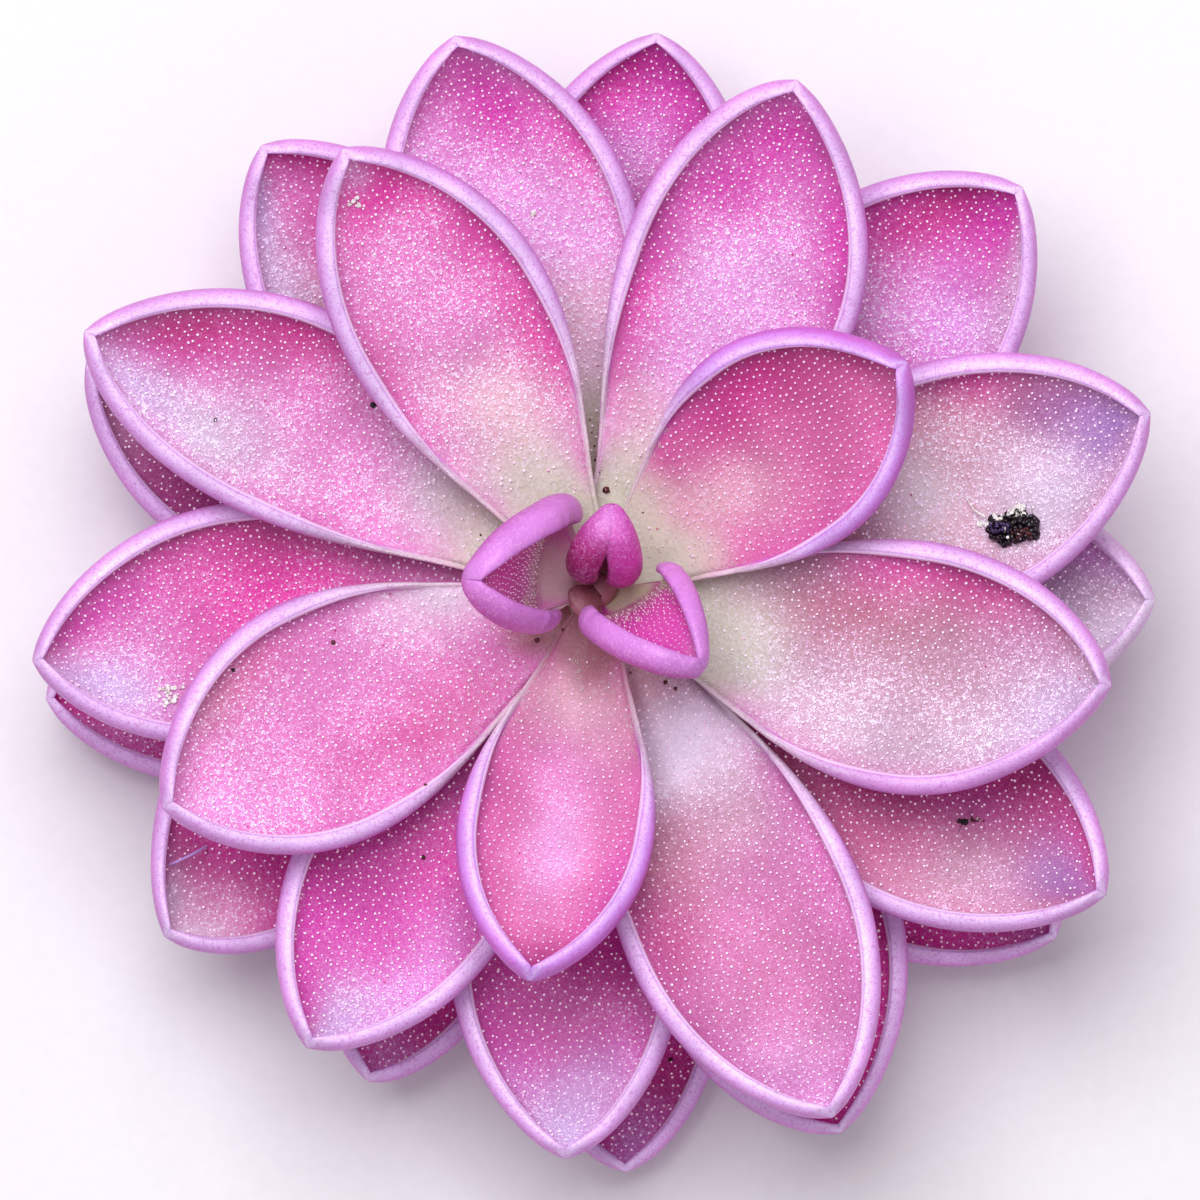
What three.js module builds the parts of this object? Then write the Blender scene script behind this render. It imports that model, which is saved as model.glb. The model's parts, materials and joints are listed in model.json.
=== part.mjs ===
// A butterwort rosette, cut below its lowest leaves and resting on a surface. Boat-shaped leaves with
// rolled-in margins stand in one spiral round a short crown stem, the youngest in the heart.
// Millimetres, +Z up. The origin is the middle of the stem's flat cut, and azimuths turn
// counter-clockwise from +X.
import * as THREE from 'three';

const DEGREE = Math.PI / 180;
const { lerp, smoothstep } = THREE.MathUtils;

// ---------------------------------------------------------------- crown stem
const STEM_HEIGHT = 8.2;
const STEM_CUT_RADIUS = 3.2;
const STEM_TOP_RADIUS = 0.7;
const STEM_SIDES = 28;
const STEM_STEPS = 7;
const STEM_CLEARANCE = 0.3; // between the stem and the foot of a leaf

// ---------------------------------------------------------------- how the leaves stack
// A leaf's rank is its place in the spiral: 0 is the youngest open leaf, 30 the oldest.
const FOOT_HEIGHT = 8.0; // of rank 0, at the middle of the leaf's foot
const FOOT_STEP = 0.245; // each older leaf leaves the stem this much lower
const TIP_HEIGHT = 15.6; // of rank 0, were it a grown leaf
const TIP_STEP = 0.475; // each older leaf's tip is this much lower
const OLD_SAG = 0.7; // how far a midrib hangs below its chord, oldest leaf
const YOUNG_SAG = 0.55; // the same, youngest grown leaf
const OLDEST_RANK = 30;

// ---------------------------------------------------------------- one grown leaf's section
const WIDEST_AT = 0.6; // share of the midrib
const FOOT_WIDTH = 0.33; // share of the greatest width
const FOOT_TAPER = 1.5; // 1 widens as a cosine, more stays narrow for longer
const TIP_SHARPNESS = 0.65; // 0.5 is an ellipse, more is more pointed
const KEEL_THICKNESS = 0.75; // at the foot
const BLADE_THICKNESS = 0.45; // at mid-length
const MARGIN_THICKNESS = 0.38;
const MARGIN_ROLL = 0.42; // radius of the rolled margin's middle surface
const FOOT_ROLL = 0.14; // the same at the foot
const ROLLED_FROM = 0.6; // share of the midrib from which the margin is fully rolled
const DISH_ANGLE = 15; // slope of the blade where the roll begins, degrees
const ROLL_END = 205; // direction the margin has turned to, degrees
const FOOT_ROLL_END = 70; // the same at the foot, where the margin only stands up
const TIGHTEST_ROLL = 0.47; // outer radius of the roll at the tip, share of the half width
const TIGHTEST_MARGIN = 0.36; // thickness of the margin at the tip, share of the half width
const TIGHTEST_KEEL = 0.5; // thickness of the keel at the tip, share of the half width
const PROW_LIFT = 0.7; // the keel rises by this much to meet the margins at the tip
const PROW_FROM = 0.84; // share of the midrib from which it rises

// Grown leaves by rank from 3: azimuth of the tip, its reach from the axis, half the greatest width,
// and how far the midrib bows to the left.
const FIRST_GROWN_RANK = 3;
const GROWN_LEAVES = [
  { name: 'inner_leaf_1', azimuth: 36.5, reach: 15.4, half: 4.55, bow: 0.35 },
  { name: 'inner_leaf_2', azimuth: 260, reach: 15.9, half: 3.95, bow: 0 },
  { name: 'middle_leaf_1', azimuth: 120, reach: 20.4, half: 4.35, bow: -0.25 },
  { name: 'middle_leaf_2', azimuth: 349.5, reach: 20.9, half: 5.1, bow: -0.8 },
  { name: 'middle_leaf_3', azimuth: 206.5, reach: 19.5, half: 5.0, bow: -0.2 },
  { name: 'middle_leaf_4', azimuth: 68.7, reach: 21.9, half: 4.95, bow: -0.85 },
  { name: 'middle_leaf_5', azimuth: 294, reach: 23.1, half: 4.95, bow: 0 },
  { name: 'middle_leaf_6', azimuth: 153.3, reach: 23.0, half: 4.4, bow: -0.8 },
  { name: 'middle_leaf_7', azimuth: 17.8, reach: 23.2, half: 5.1, bow: -0.45 },
  { name: 'middle_leaf_8', azimuth: 237.5, reach: 21.7, half: 4.6, bow: -0.25 },
  { name: 'middle_leaf_9', azimuth: 104.5, reach: 22.9, half: 5.15, bow: -0.2 },
  { name: 'outer_leaf_1', azimuth: 329, reach: 23.7, half: 5.0, bow: -0.3 },
  { name: 'outer_leaf_2', azimuth: 187.1, reach: 22.8, half: 4.8, bow: -0.5 },
  { name: 'outer_leaf_3', azimuth: 43.5, reach: 23.4, half: 5.3, bow: -0.2 },
  { name: 'outer_leaf_4', azimuth: 266.7, reach: 22.8, half: 4.7, bow: -0.4 },
  { name: 'outer_leaf_5', azimuth: 127.1, reach: 22.3, half: 4.7, bow: 0.05 },
  { name: 'outer_leaf_6', azimuth: 359, reach: 22.3, half: 4.95, bow: -0.25 },
  { name: 'outer_leaf_7', azimuth: 218.6, reach: 22.2, half: 5.1, bow: -1.2 },
  { name: 'outer_leaf_8', azimuth: 83.9, reach: 22.4, half: 4.95, bow: 0.35 },
  { name: 'lowest_leaf_1', azimuth: 294.1, reach: 23.8, half: 5.3, bow: 0.7 },
  { name: 'lowest_leaf_2', azimuth: 156.1, reach: 22.4, half: 5.0, bow: 0.1 },
  { name: 'lowest_leaf_3', azimuth: 24, reach: 18.8, half: 4.2, bow: 0 },
  { name: 'lowest_leaf_4', azimuth: 244.9, reach: 21.7, half: 4.4, bow: -1.1 },
  { name: 'lowest_leaf_5', azimuth: 106, reach: 20.5, half: 4.2, bow: 0 },
  { name: 'lowest_leaf_6', azimuth: 322.8, reach: 23.0, half: 4.9, bow: -0.4 },
  { name: 'lowest_leaf_7', azimuth: 191.2, reach: 22.5, half: 4.75, bow: 0.1 },
  { name: 'lowest_leaf_8', azimuth: 55, reach: 18.4, half: 4.2, bow: 0 },
  { name: 'lowest_leaf_9', azimuth: 272.7, reach: 23.3, half: 4.5, bow: 0 },
];

// The leaves of the heart stand up and are still folded. Foot and tip are given by distance from the
// axis and height; the middle of the midrib stands inside its chord by hollow and over it by arch, and
// the blade is banked about the midrib, left side up.
const HEART_LEAVES = [
  { name: 'heart_bud', azimuth: 219, footReach: 0.3, footHeight: 8.45, reach: 0.75, tipHeight: 9.8,
    half: 0.46, bow: 0, hollow: 0, arch: 0, bank: 0, widestAt: 0.6, footWidth: 0.33,
    roll: 0.14, rollEnd: 200, thickness: 0.2, dish: 30 },
  { name: 'heart_leaf_1', azimuth: 80, footReach: 1.0, footHeight: 8.35, reach: 3.5, tipHeight: 12.6,
    half: 1.42, bow: 0, hollow: 0.6, arch: 0.4, bank: 6, widestAt: 0.6, footWidth: 0.33,
    roll: 0.48, rollEnd: 238, thickness: 0.44, dish: 38 },
  { name: 'heart_leaf_2', azimuth: 323, footReach: 1.3, footHeight: 8.1, reach: 5.35, tipHeight: 13.4,
    half: 2.42, bow: 0.12, hollow: 0.88, arch: 0.93, bank: -14, widestAt: 0.42, footWidth: 0.4,
    roll: 0.56, rollEnd: 205, thickness: 0.56, dish: 24 },
  { name: 'heart_leaf_3', azimuth: 175, footReach: 1.75, footHeight: 7.85, reach: 5.48, tipHeight: 14.2,
    half: 2.62, bow: -0.92, hollow: 0.56, arch: 1.3, bank: -2, widestAt: 0.52, footWidth: 0.2,
    roll: 0.6, rollEnd: 200, thickness: 0.58, dish: 20 },
];
const HEART_ROLLED_FROM = 0.42; // share of the midrib from which a heart leaf's margin is fully rolled
const HEART_TIP_SHARPNESS = 0.5;

// Stations along a leaf, as shares of its midrib: closer where the outline turns faster.
const STATIONS = [0, 0.09, 0.2, 0.33, 0.46, 0.58, 0.69, 0.79, 0.87, 0.93, 0.965, 0.988, 0.9985];

// ---------------------------------------------------------------- prey remains
const PREY_LEAF = 'middle_leaf_7';
const PREY_ALONG = 0.685; // share of that leaf's midrib
const PREY_ACROSS = -2.3; // from the midrib, to the left
const PREY_LIFT = 0.98; // of its middle over the midrib's level
const PREY_LENGTH = 2.4;
const PREY_WIDTH = 1.4;
const PREY_HEIGHT = 0.8;

// ---------------------------------------------------------------- materials
function flesh(colour) {
  return new THREE.MeshStandardMaterial({ color: colour, roughness: 0.45, metalness: 0 });
}
const HEART_FLESH = flesh('#c44fa6');
const INNER_FLESH = flesh('#e57bb4');
const MIDDLE_FLESH = flesh('#e08fc0');
const OUTER_FLESH = flesh('#cf86c2');
const LOWEST_FLESH = flesh('#b877b4');
const STEM_FLESH = new THREE.MeshStandardMaterial({ color: '#cdbf9a', roughness: 0.7, metalness: 0 });
const PREY_SHELL = new THREE.MeshStandardMaterial({ color: '#2a1c20', roughness: 0.6, metalness: 0 });

// ---------------------------------------------------------------- leaf geometry
function stemRadius(height) {
  const share = Math.min(Math.max(height / STEM_HEIGHT, 0), 1);
  return lerp(STEM_CUT_RADIUS, STEM_TOP_RADIUS, share ** 1.6);
}

function midrib(leaf) {
  const outward = new THREE.Vector3(Math.cos(leaf.azimuth * DEGREE), Math.sin(leaf.azimuth * DEGREE), 0);
  const leftward = new THREE.Vector3(-outward.y, outward.x, 0);
  const foot = outward.clone().multiplyScalar(leaf.footReach).setZ(leaf.footHeight);
  const tip = outward.clone().multiplyScalar(leaf.reach).setZ(leaf.tipHeight);
  const control = foot.clone().lerp(tip, 0.5);
  control.addScaledVector(leftward, 2 * leaf.bow);
  control.addScaledVector(outward, -2 * leaf.hollow);
  control.z += 2 * leaf.arch;
  return { curve: new THREE.QuadraticBezierCurve3(foot, control, tip), leftward };
}

// The leaf's own directions at a share of its midrib: left across the blade, and up off it.
function frameAt(leaf, along) {
  const { curve, leftward } = midrib(leaf);
  const tangent = curve.getTangent(along);
  const left = leftward.clone().applyAxisAngle(tangent, leaf.bank * DEGREE);
  const up = tangent.clone().cross(left).normalize();
  const centre = curve.getPoint(along);
  centre.z += leaf.prow * smoothstep(along, PROW_FROM, 1) ** 2;
  return { centre, left, up };
}

function pointOn({ centre, left, up }, across, height) {
  return centre.clone().addScaledVector(left, across).addScaledVector(up, height);
}

// Share of the greatest width that the leaf has at a share of its midrib.
function widthShare(leaf, along) {
  if (along < leaf.widestAt) {
    const inward = 1 - along / leaf.widestAt;
    return lerp(leaf.footWidth, 1, Math.cos(inward * Math.PI / 2) ** FOOT_TAPER);
  }
  const outward = (along - leaf.widestAt) / (1 - leaf.widestAt);
  return (1 - outward * outward) ** leaf.tipSharpness;
}

// One half of the section, from the keel to the margin: pairs of points under and over the blade, as
// distance from the keel and height over it.
function halfSection(leaf, along) {
  const halfWidth = leaf.half * widthShare(leaf, along);
  const margin = Math.min(leaf.margin, TIGHTEST_MARGIN * halfWidth);
  const rolled = smoothstep(along, 0, leaf.rolledFrom);
  const roll = Math.min(lerp(FOOT_ROLL, leaf.roll, rolled), TIGHTEST_ROLL * halfWidth - margin / 2);
  const grownKeel = lerp(leaf.keel, leaf.blade, smoothstep(along, 0, 0.5));
  const keel = Math.min(grownKeel, TIGHTEST_KEEL * halfWidth);
  const dish = leaf.dish * DEGREE;
  const rollEnd = lerp(FOOT_ROLL_END, leaf.rollEnd, rolled) * DEGREE;
  const rollCentre = halfWidth - roll - margin / 2;
  const bend = rollCentre + roll * Math.sin(dish);
  const bendHeight = bend * Math.tan(dish / 2);
  const side = (middle, height, angle, thickness) => ({
    under: [middle + Math.sin(angle) * thickness / 2, height - Math.cos(angle) * thickness / 2],
    over: [middle - Math.sin(angle) * thickness / 2, height + Math.cos(angle) * thickness / 2],
  });
  const onRoll = (angle, thickness) => side(
    rollCentre + roll * Math.sin(angle),
    bendHeight + roll * (Math.cos(dish) - Math.cos(angle)),
    angle,
    thickness,
  );
  const upright = Math.min(Math.PI / 2, lerp(dish, rollEnd, 0.6));
  return [
    side(0, 0, 0, keel),
    onRoll(dish, lerp(keel, margin, 0.6)),
    onRoll(upright, margin),
    onRoll(rollEnd, margin * 0.8),
  ];
}

// A closed loft of the section along the midrib. Each ring runs under the blade from the right margin
// to the left one, and back over it.
function leafGeometry(leaf) {
  const positions = [];
  const index = [];
  const rings = STATIONS.map((along) => {
    const frame = frameAt(leaf, along);
    const place = ([across, height]) => {
      positions.push(...pointOn(frame, across, height).toArray());
      return positions.length / 3 - 1;
    };
    const half = halfSection(leaf, along);
    const right = half.slice(1).reverse();
    const mirror = ([across, height]) => [-across, height];
    return {
      under: [...right.map((pair) => place(mirror(pair.under))), ...half.map((pair) => place(pair.under))],
      over: [...right.map((pair) => place(mirror(pair.over))), ...half.map((pair) => place(pair.over))],
    };
  });
  const quad = (a, b, c, d) => index.push(a, b, c, a, c, d);
  const last = rings[0].under.length - 1;
  for (let station = 0; station < rings.length - 1; station += 1) {
    const near = rings[station];
    const far = rings[station + 1];
    for (let i = 0; i < last; i += 1) {
      quad(near.under[i], near.under[i + 1], far.under[i + 1], far.under[i]);
      quad(near.over[i + 1], near.over[i], far.over[i], far.over[i + 1]);
    }
    quad(near.over[0], near.under[0], far.under[0], far.over[0]);
    quad(near.under[last], near.over[last], far.over[last], far.under[last]);
  }
  const footRing = rings[0];
  const tipRing = rings[rings.length - 1];
  for (let i = 0; i < last; i += 1) {
    quad(footRing.under[i], footRing.over[i], footRing.over[i + 1], footRing.under[i + 1]);
    quad(tipRing.under[i + 1], tipRing.over[i + 1], tipRing.over[i], tipRing.under[i]);
  }
  const geometry = new THREE.BufferGeometry();
  geometry.setAttribute('position', new THREE.Float32BufferAttribute(positions, 3));
  geometry.setIndex(index);
  geometry.computeVertexNormals();
  return geometry;
}

// A grown leaf's foot, tip and section follow from its rank.
function grownLeaf(entry, rank) {
  const age = rank / OLDEST_RANK;
  const footHeight = FOOT_HEIGHT - FOOT_STEP * rank;
  return {
    ...entry,
    footHeight,
    footReach: stemRadius(footHeight) + STEM_CLEARANCE,
    tipHeight: TIP_HEIGHT - TIP_STEP * rank,
    arch: -lerp(YOUNG_SAG, OLD_SAG, age),
    hollow: 0,
    bank: 0,
    widestAt: WIDEST_AT,
    footWidth: FOOT_WIDTH,
    tipSharpness: TIP_SHARPNESS,
    rolledFrom: ROLLED_FROM,
    keel: KEEL_THICKNESS,
    blade: BLADE_THICKNESS,
    margin: MARGIN_THICKNESS,
    roll: MARGIN_ROLL,
    dish: DISH_ANGLE,
    rollEnd: ROLL_END,
    prow: PROW_LIFT,
  };
}

function heartLeaf(entry) {
  return {
    ...entry,
    tipSharpness: HEART_TIP_SHARPNESS,
    rolledFrom: HEART_ROLLED_FROM,
    keel: entry.thickness,
    blade: entry.thickness,
    margin: entry.thickness,
    prow: 0,
  };
}

function crownStem() {
  const profile = [new THREE.Vector2(0, 0)];
  for (let step = 0; step <= STEM_STEPS; step += 1) {
    const height = STEM_HEIGHT * step / STEM_STEPS;
    profile.push(new THREE.Vector2(stemRadius(height), height));
  }
  profile.push(new THREE.Vector2(0, STEM_HEIGHT));
  return new THREE.LatheGeometry(profile, STEM_SIDES).rotateX(Math.PI / 2);
}

// The remains of a caught gnat: a flattened lump that lies on the blade.
function preyRemains(leaf) {
  const frame = frameAt(leaf, PREY_ALONG);
  const tangent = frame.left.clone().cross(frame.up);
  return new THREE.IcosahedronGeometry(0.5, 1)
    .scale(PREY_LENGTH, PREY_WIDTH, PREY_HEIGHT)
    .applyMatrix4(new THREE.Matrix4().makeBasis(tangent, frame.left, frame.up))
    .translate(...pointOn(frame, PREY_ACROSS, PREY_LIFT).toArray());
}

// ---------------------------------------------------------------- assembly
function addPiece(group, name, geometry, material) {
  const mesh = new THREE.Mesh(geometry, material);
  mesh.name = name;
  group.add(mesh);
  return mesh;
}

function fleshOf(name) {
  const families = { heart: HEART_FLESH, inner: INNER_FLESH, middle: MIDDLE_FLESH, outer: OUTER_FLESH };
  return families[name.split('_')[0]] ?? LOWEST_FLESH;
}

const butterwort = new THREE.Group();
butterwort.name = 'butterwort';
addPiece(butterwort, 'crown_stem', crownStem(), STEM_FLESH);

const grownLeaves = GROWN_LEAVES.map((entry, place) => grownLeaf(entry, FIRST_GROWN_RANK + place));
for (const leaf of [...HEART_LEAVES.map(heartLeaf), ...grownLeaves]) {
  addPiece(butterwort, leaf.name, leafGeometry(leaf), fleshOf(leaf.name));
}

const preyLeaf = grownLeaves.find((leaf) => leaf.name === PREY_LEAF);
addPiece(butterwort, 'prey_remains', preyRemains(preyLeaf), PREY_SHELL);

export default butterwort;
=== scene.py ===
"""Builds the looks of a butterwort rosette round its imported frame: rolled leaves, glands, hairs, caught gnats."""
import json
import math
from dataclasses import dataclass

import bpy
import numpy as np
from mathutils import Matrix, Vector, noise
from mathutils.bvhtree import BVHTree

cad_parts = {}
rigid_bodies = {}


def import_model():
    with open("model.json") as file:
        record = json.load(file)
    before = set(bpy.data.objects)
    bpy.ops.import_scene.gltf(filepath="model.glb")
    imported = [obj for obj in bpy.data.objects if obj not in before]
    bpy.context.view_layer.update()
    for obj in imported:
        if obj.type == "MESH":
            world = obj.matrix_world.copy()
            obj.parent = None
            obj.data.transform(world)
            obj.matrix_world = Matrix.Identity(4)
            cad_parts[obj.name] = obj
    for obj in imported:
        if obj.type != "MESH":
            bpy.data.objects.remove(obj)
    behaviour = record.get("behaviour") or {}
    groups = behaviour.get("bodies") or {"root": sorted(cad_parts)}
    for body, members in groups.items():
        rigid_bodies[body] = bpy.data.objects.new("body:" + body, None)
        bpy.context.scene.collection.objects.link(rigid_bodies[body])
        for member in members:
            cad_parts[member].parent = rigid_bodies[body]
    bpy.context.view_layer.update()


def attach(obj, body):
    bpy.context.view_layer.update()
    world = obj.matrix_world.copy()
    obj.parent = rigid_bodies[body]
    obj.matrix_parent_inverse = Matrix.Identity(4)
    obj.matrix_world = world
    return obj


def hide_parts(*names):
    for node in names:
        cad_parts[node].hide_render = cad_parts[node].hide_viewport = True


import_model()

bl_info = {
    "name": "Butterwort rosette",
    "version": (1, 0, 0),
    "blender": (4, 5, 0),
    "location": "3D View > Sidebar > Butterwort",
    "description": "Builds a resting butterwort rosette with rolled leaf margins and gland droplets",
    "category": "Add Mesh",
}

MM = 0.001
DEGREE = math.pi / 180
TURN = 6.28  # about a full turn, for what is spun at random
WAVE_SEED, PAINT_SEED, HAIR_SEED, GNAT_SEED, SCRAP_SEED, DIRT_SEED = 100, 500, 900, 31, 32, 71

# ------------------------------------------------------------------ sizes in millimetres, as in the frame
STEM_HEIGHT, STEM_CUT_RADIUS, STEM_TOP_RADIUS, STEM_CLEARANCE = 8.2, 3.2, 0.7, 0.3
STEM_DOME, STEM_TAPER = 0.5, 1.6
FOOT_HEIGHT, FOOT_STEP = 8, 0.245  # where the spiral of feet starts, and its drop from each leaf to the next older
TIP_HEIGHT, TIP_STEP = 15.6, 0.475  # the same for the tips
YOUNG_SAG, OLD_SAG, OLDEST_RANK, FIRST_GROWN_RANK = 0.55, 0.7, 30, 3
FOOT_TAPER, FOOT_ROLL, FOOT_ROLL_END = 1.5, 0.14, 70
TIGHTEST_ROLL, TIGHTEST_MARGIN, TIGHTEST_KEEL = 0.5, 0.3, 0.5  # shares of the half width that bind near the tip
TIGHTEST_HEART_MARGIN = 0.36
MEETING_ROLL, MEET_FROM = 0.8, 0.95  # the two rolls meet and close the tip
BLUNT_FROM, TIP_ROUND_FROM, TIP_ROUND = 0.9, 0.99, 0.3
PROW_FROM = 0.84
THIN_FOOT = 0.4  # a grown leaf's margin thins to this share at the foot
EDGE_ROUND_FROM = 0.86  # share of the roll from which its edge is rounded off
FOOT_START, FOOT_FUSED_TO, FOOT_SUNK = -0.015, 0.05, 0.15  # the foot's share that is drawn in, and how far

COLUMNS, ROWS = 52, 58  # faces across and along one leaf's skin
BLADE_COLUMNS = 22  # of the columns, those on the open blade
TIP_CROWDING = 1.45  # rows stand closer towards the tip
BLOTCHES, MOTTLES = 2.6, 0.9  # sizes of the lighter and darker places in the flesh
ABOVE_ALL = 40  # where the rays that look down on the leaves start


@dataclass
class Leaf:
    """One leaf, in millimetres and degrees. Shares run from foot to tip and from the right margin, -1, to the left, 1.

    A patch is a colour, its middle along and across the blade, its length and width there, and its strength.
    """

    name: str
    azimuth: float
    reach: float  # of the tip, from the middle of the stem
    half: float  # half of its width
    bow: float  # how far the midrib bends to the left
    flesh: str = "orchid"
    foot: float = 0.2  # the foot's colour ends at this share of the midrib
    patches: tuple = ()
    foot_colour: str = "cream"
    margins: tuple = ("lilac", "lilac_shade")
    margin_patches: tuple = ()  # the same for the rolled margins, which run across from 1 to 2
    rank: int = 0
    foot_reach: float = 0
    foot_shift: float = 0  # sideways, to the left of the leaf's own direction
    foot_height: float = 0
    tip_height: float = 0
    hollow: float = 0  # how far the midrib is drawn in towards the heart, and below, how far it arches up
    arch: float = 0
    bank: float = 0  # turn about the midrib
    widest_at: float = 0.6
    foot_width: float = 0.33
    tip_sharpness: float = 0.65
    rolled_from: float = 0.6
    roll: float = 0.42  # radius of the rolled margin, and below, the slope at which it ends
    roll_end: float = 205
    keel: float = 0.75  # thickness of the middle of the foot, then of the blade's middle and of the margin
    blade: float = 0.45
    margin: float = 0.38
    dish: float = 15  # slope of the blade's sides
    prow: float = 0.7  # rise of the tip

    @property
    def family(self):
        return self.name.split("_")[0]

    @property
    def grown(self):
        return self.rank >= FIRST_GROWN_RANK


VIOLET = ("violet", "violet_shade")
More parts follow.
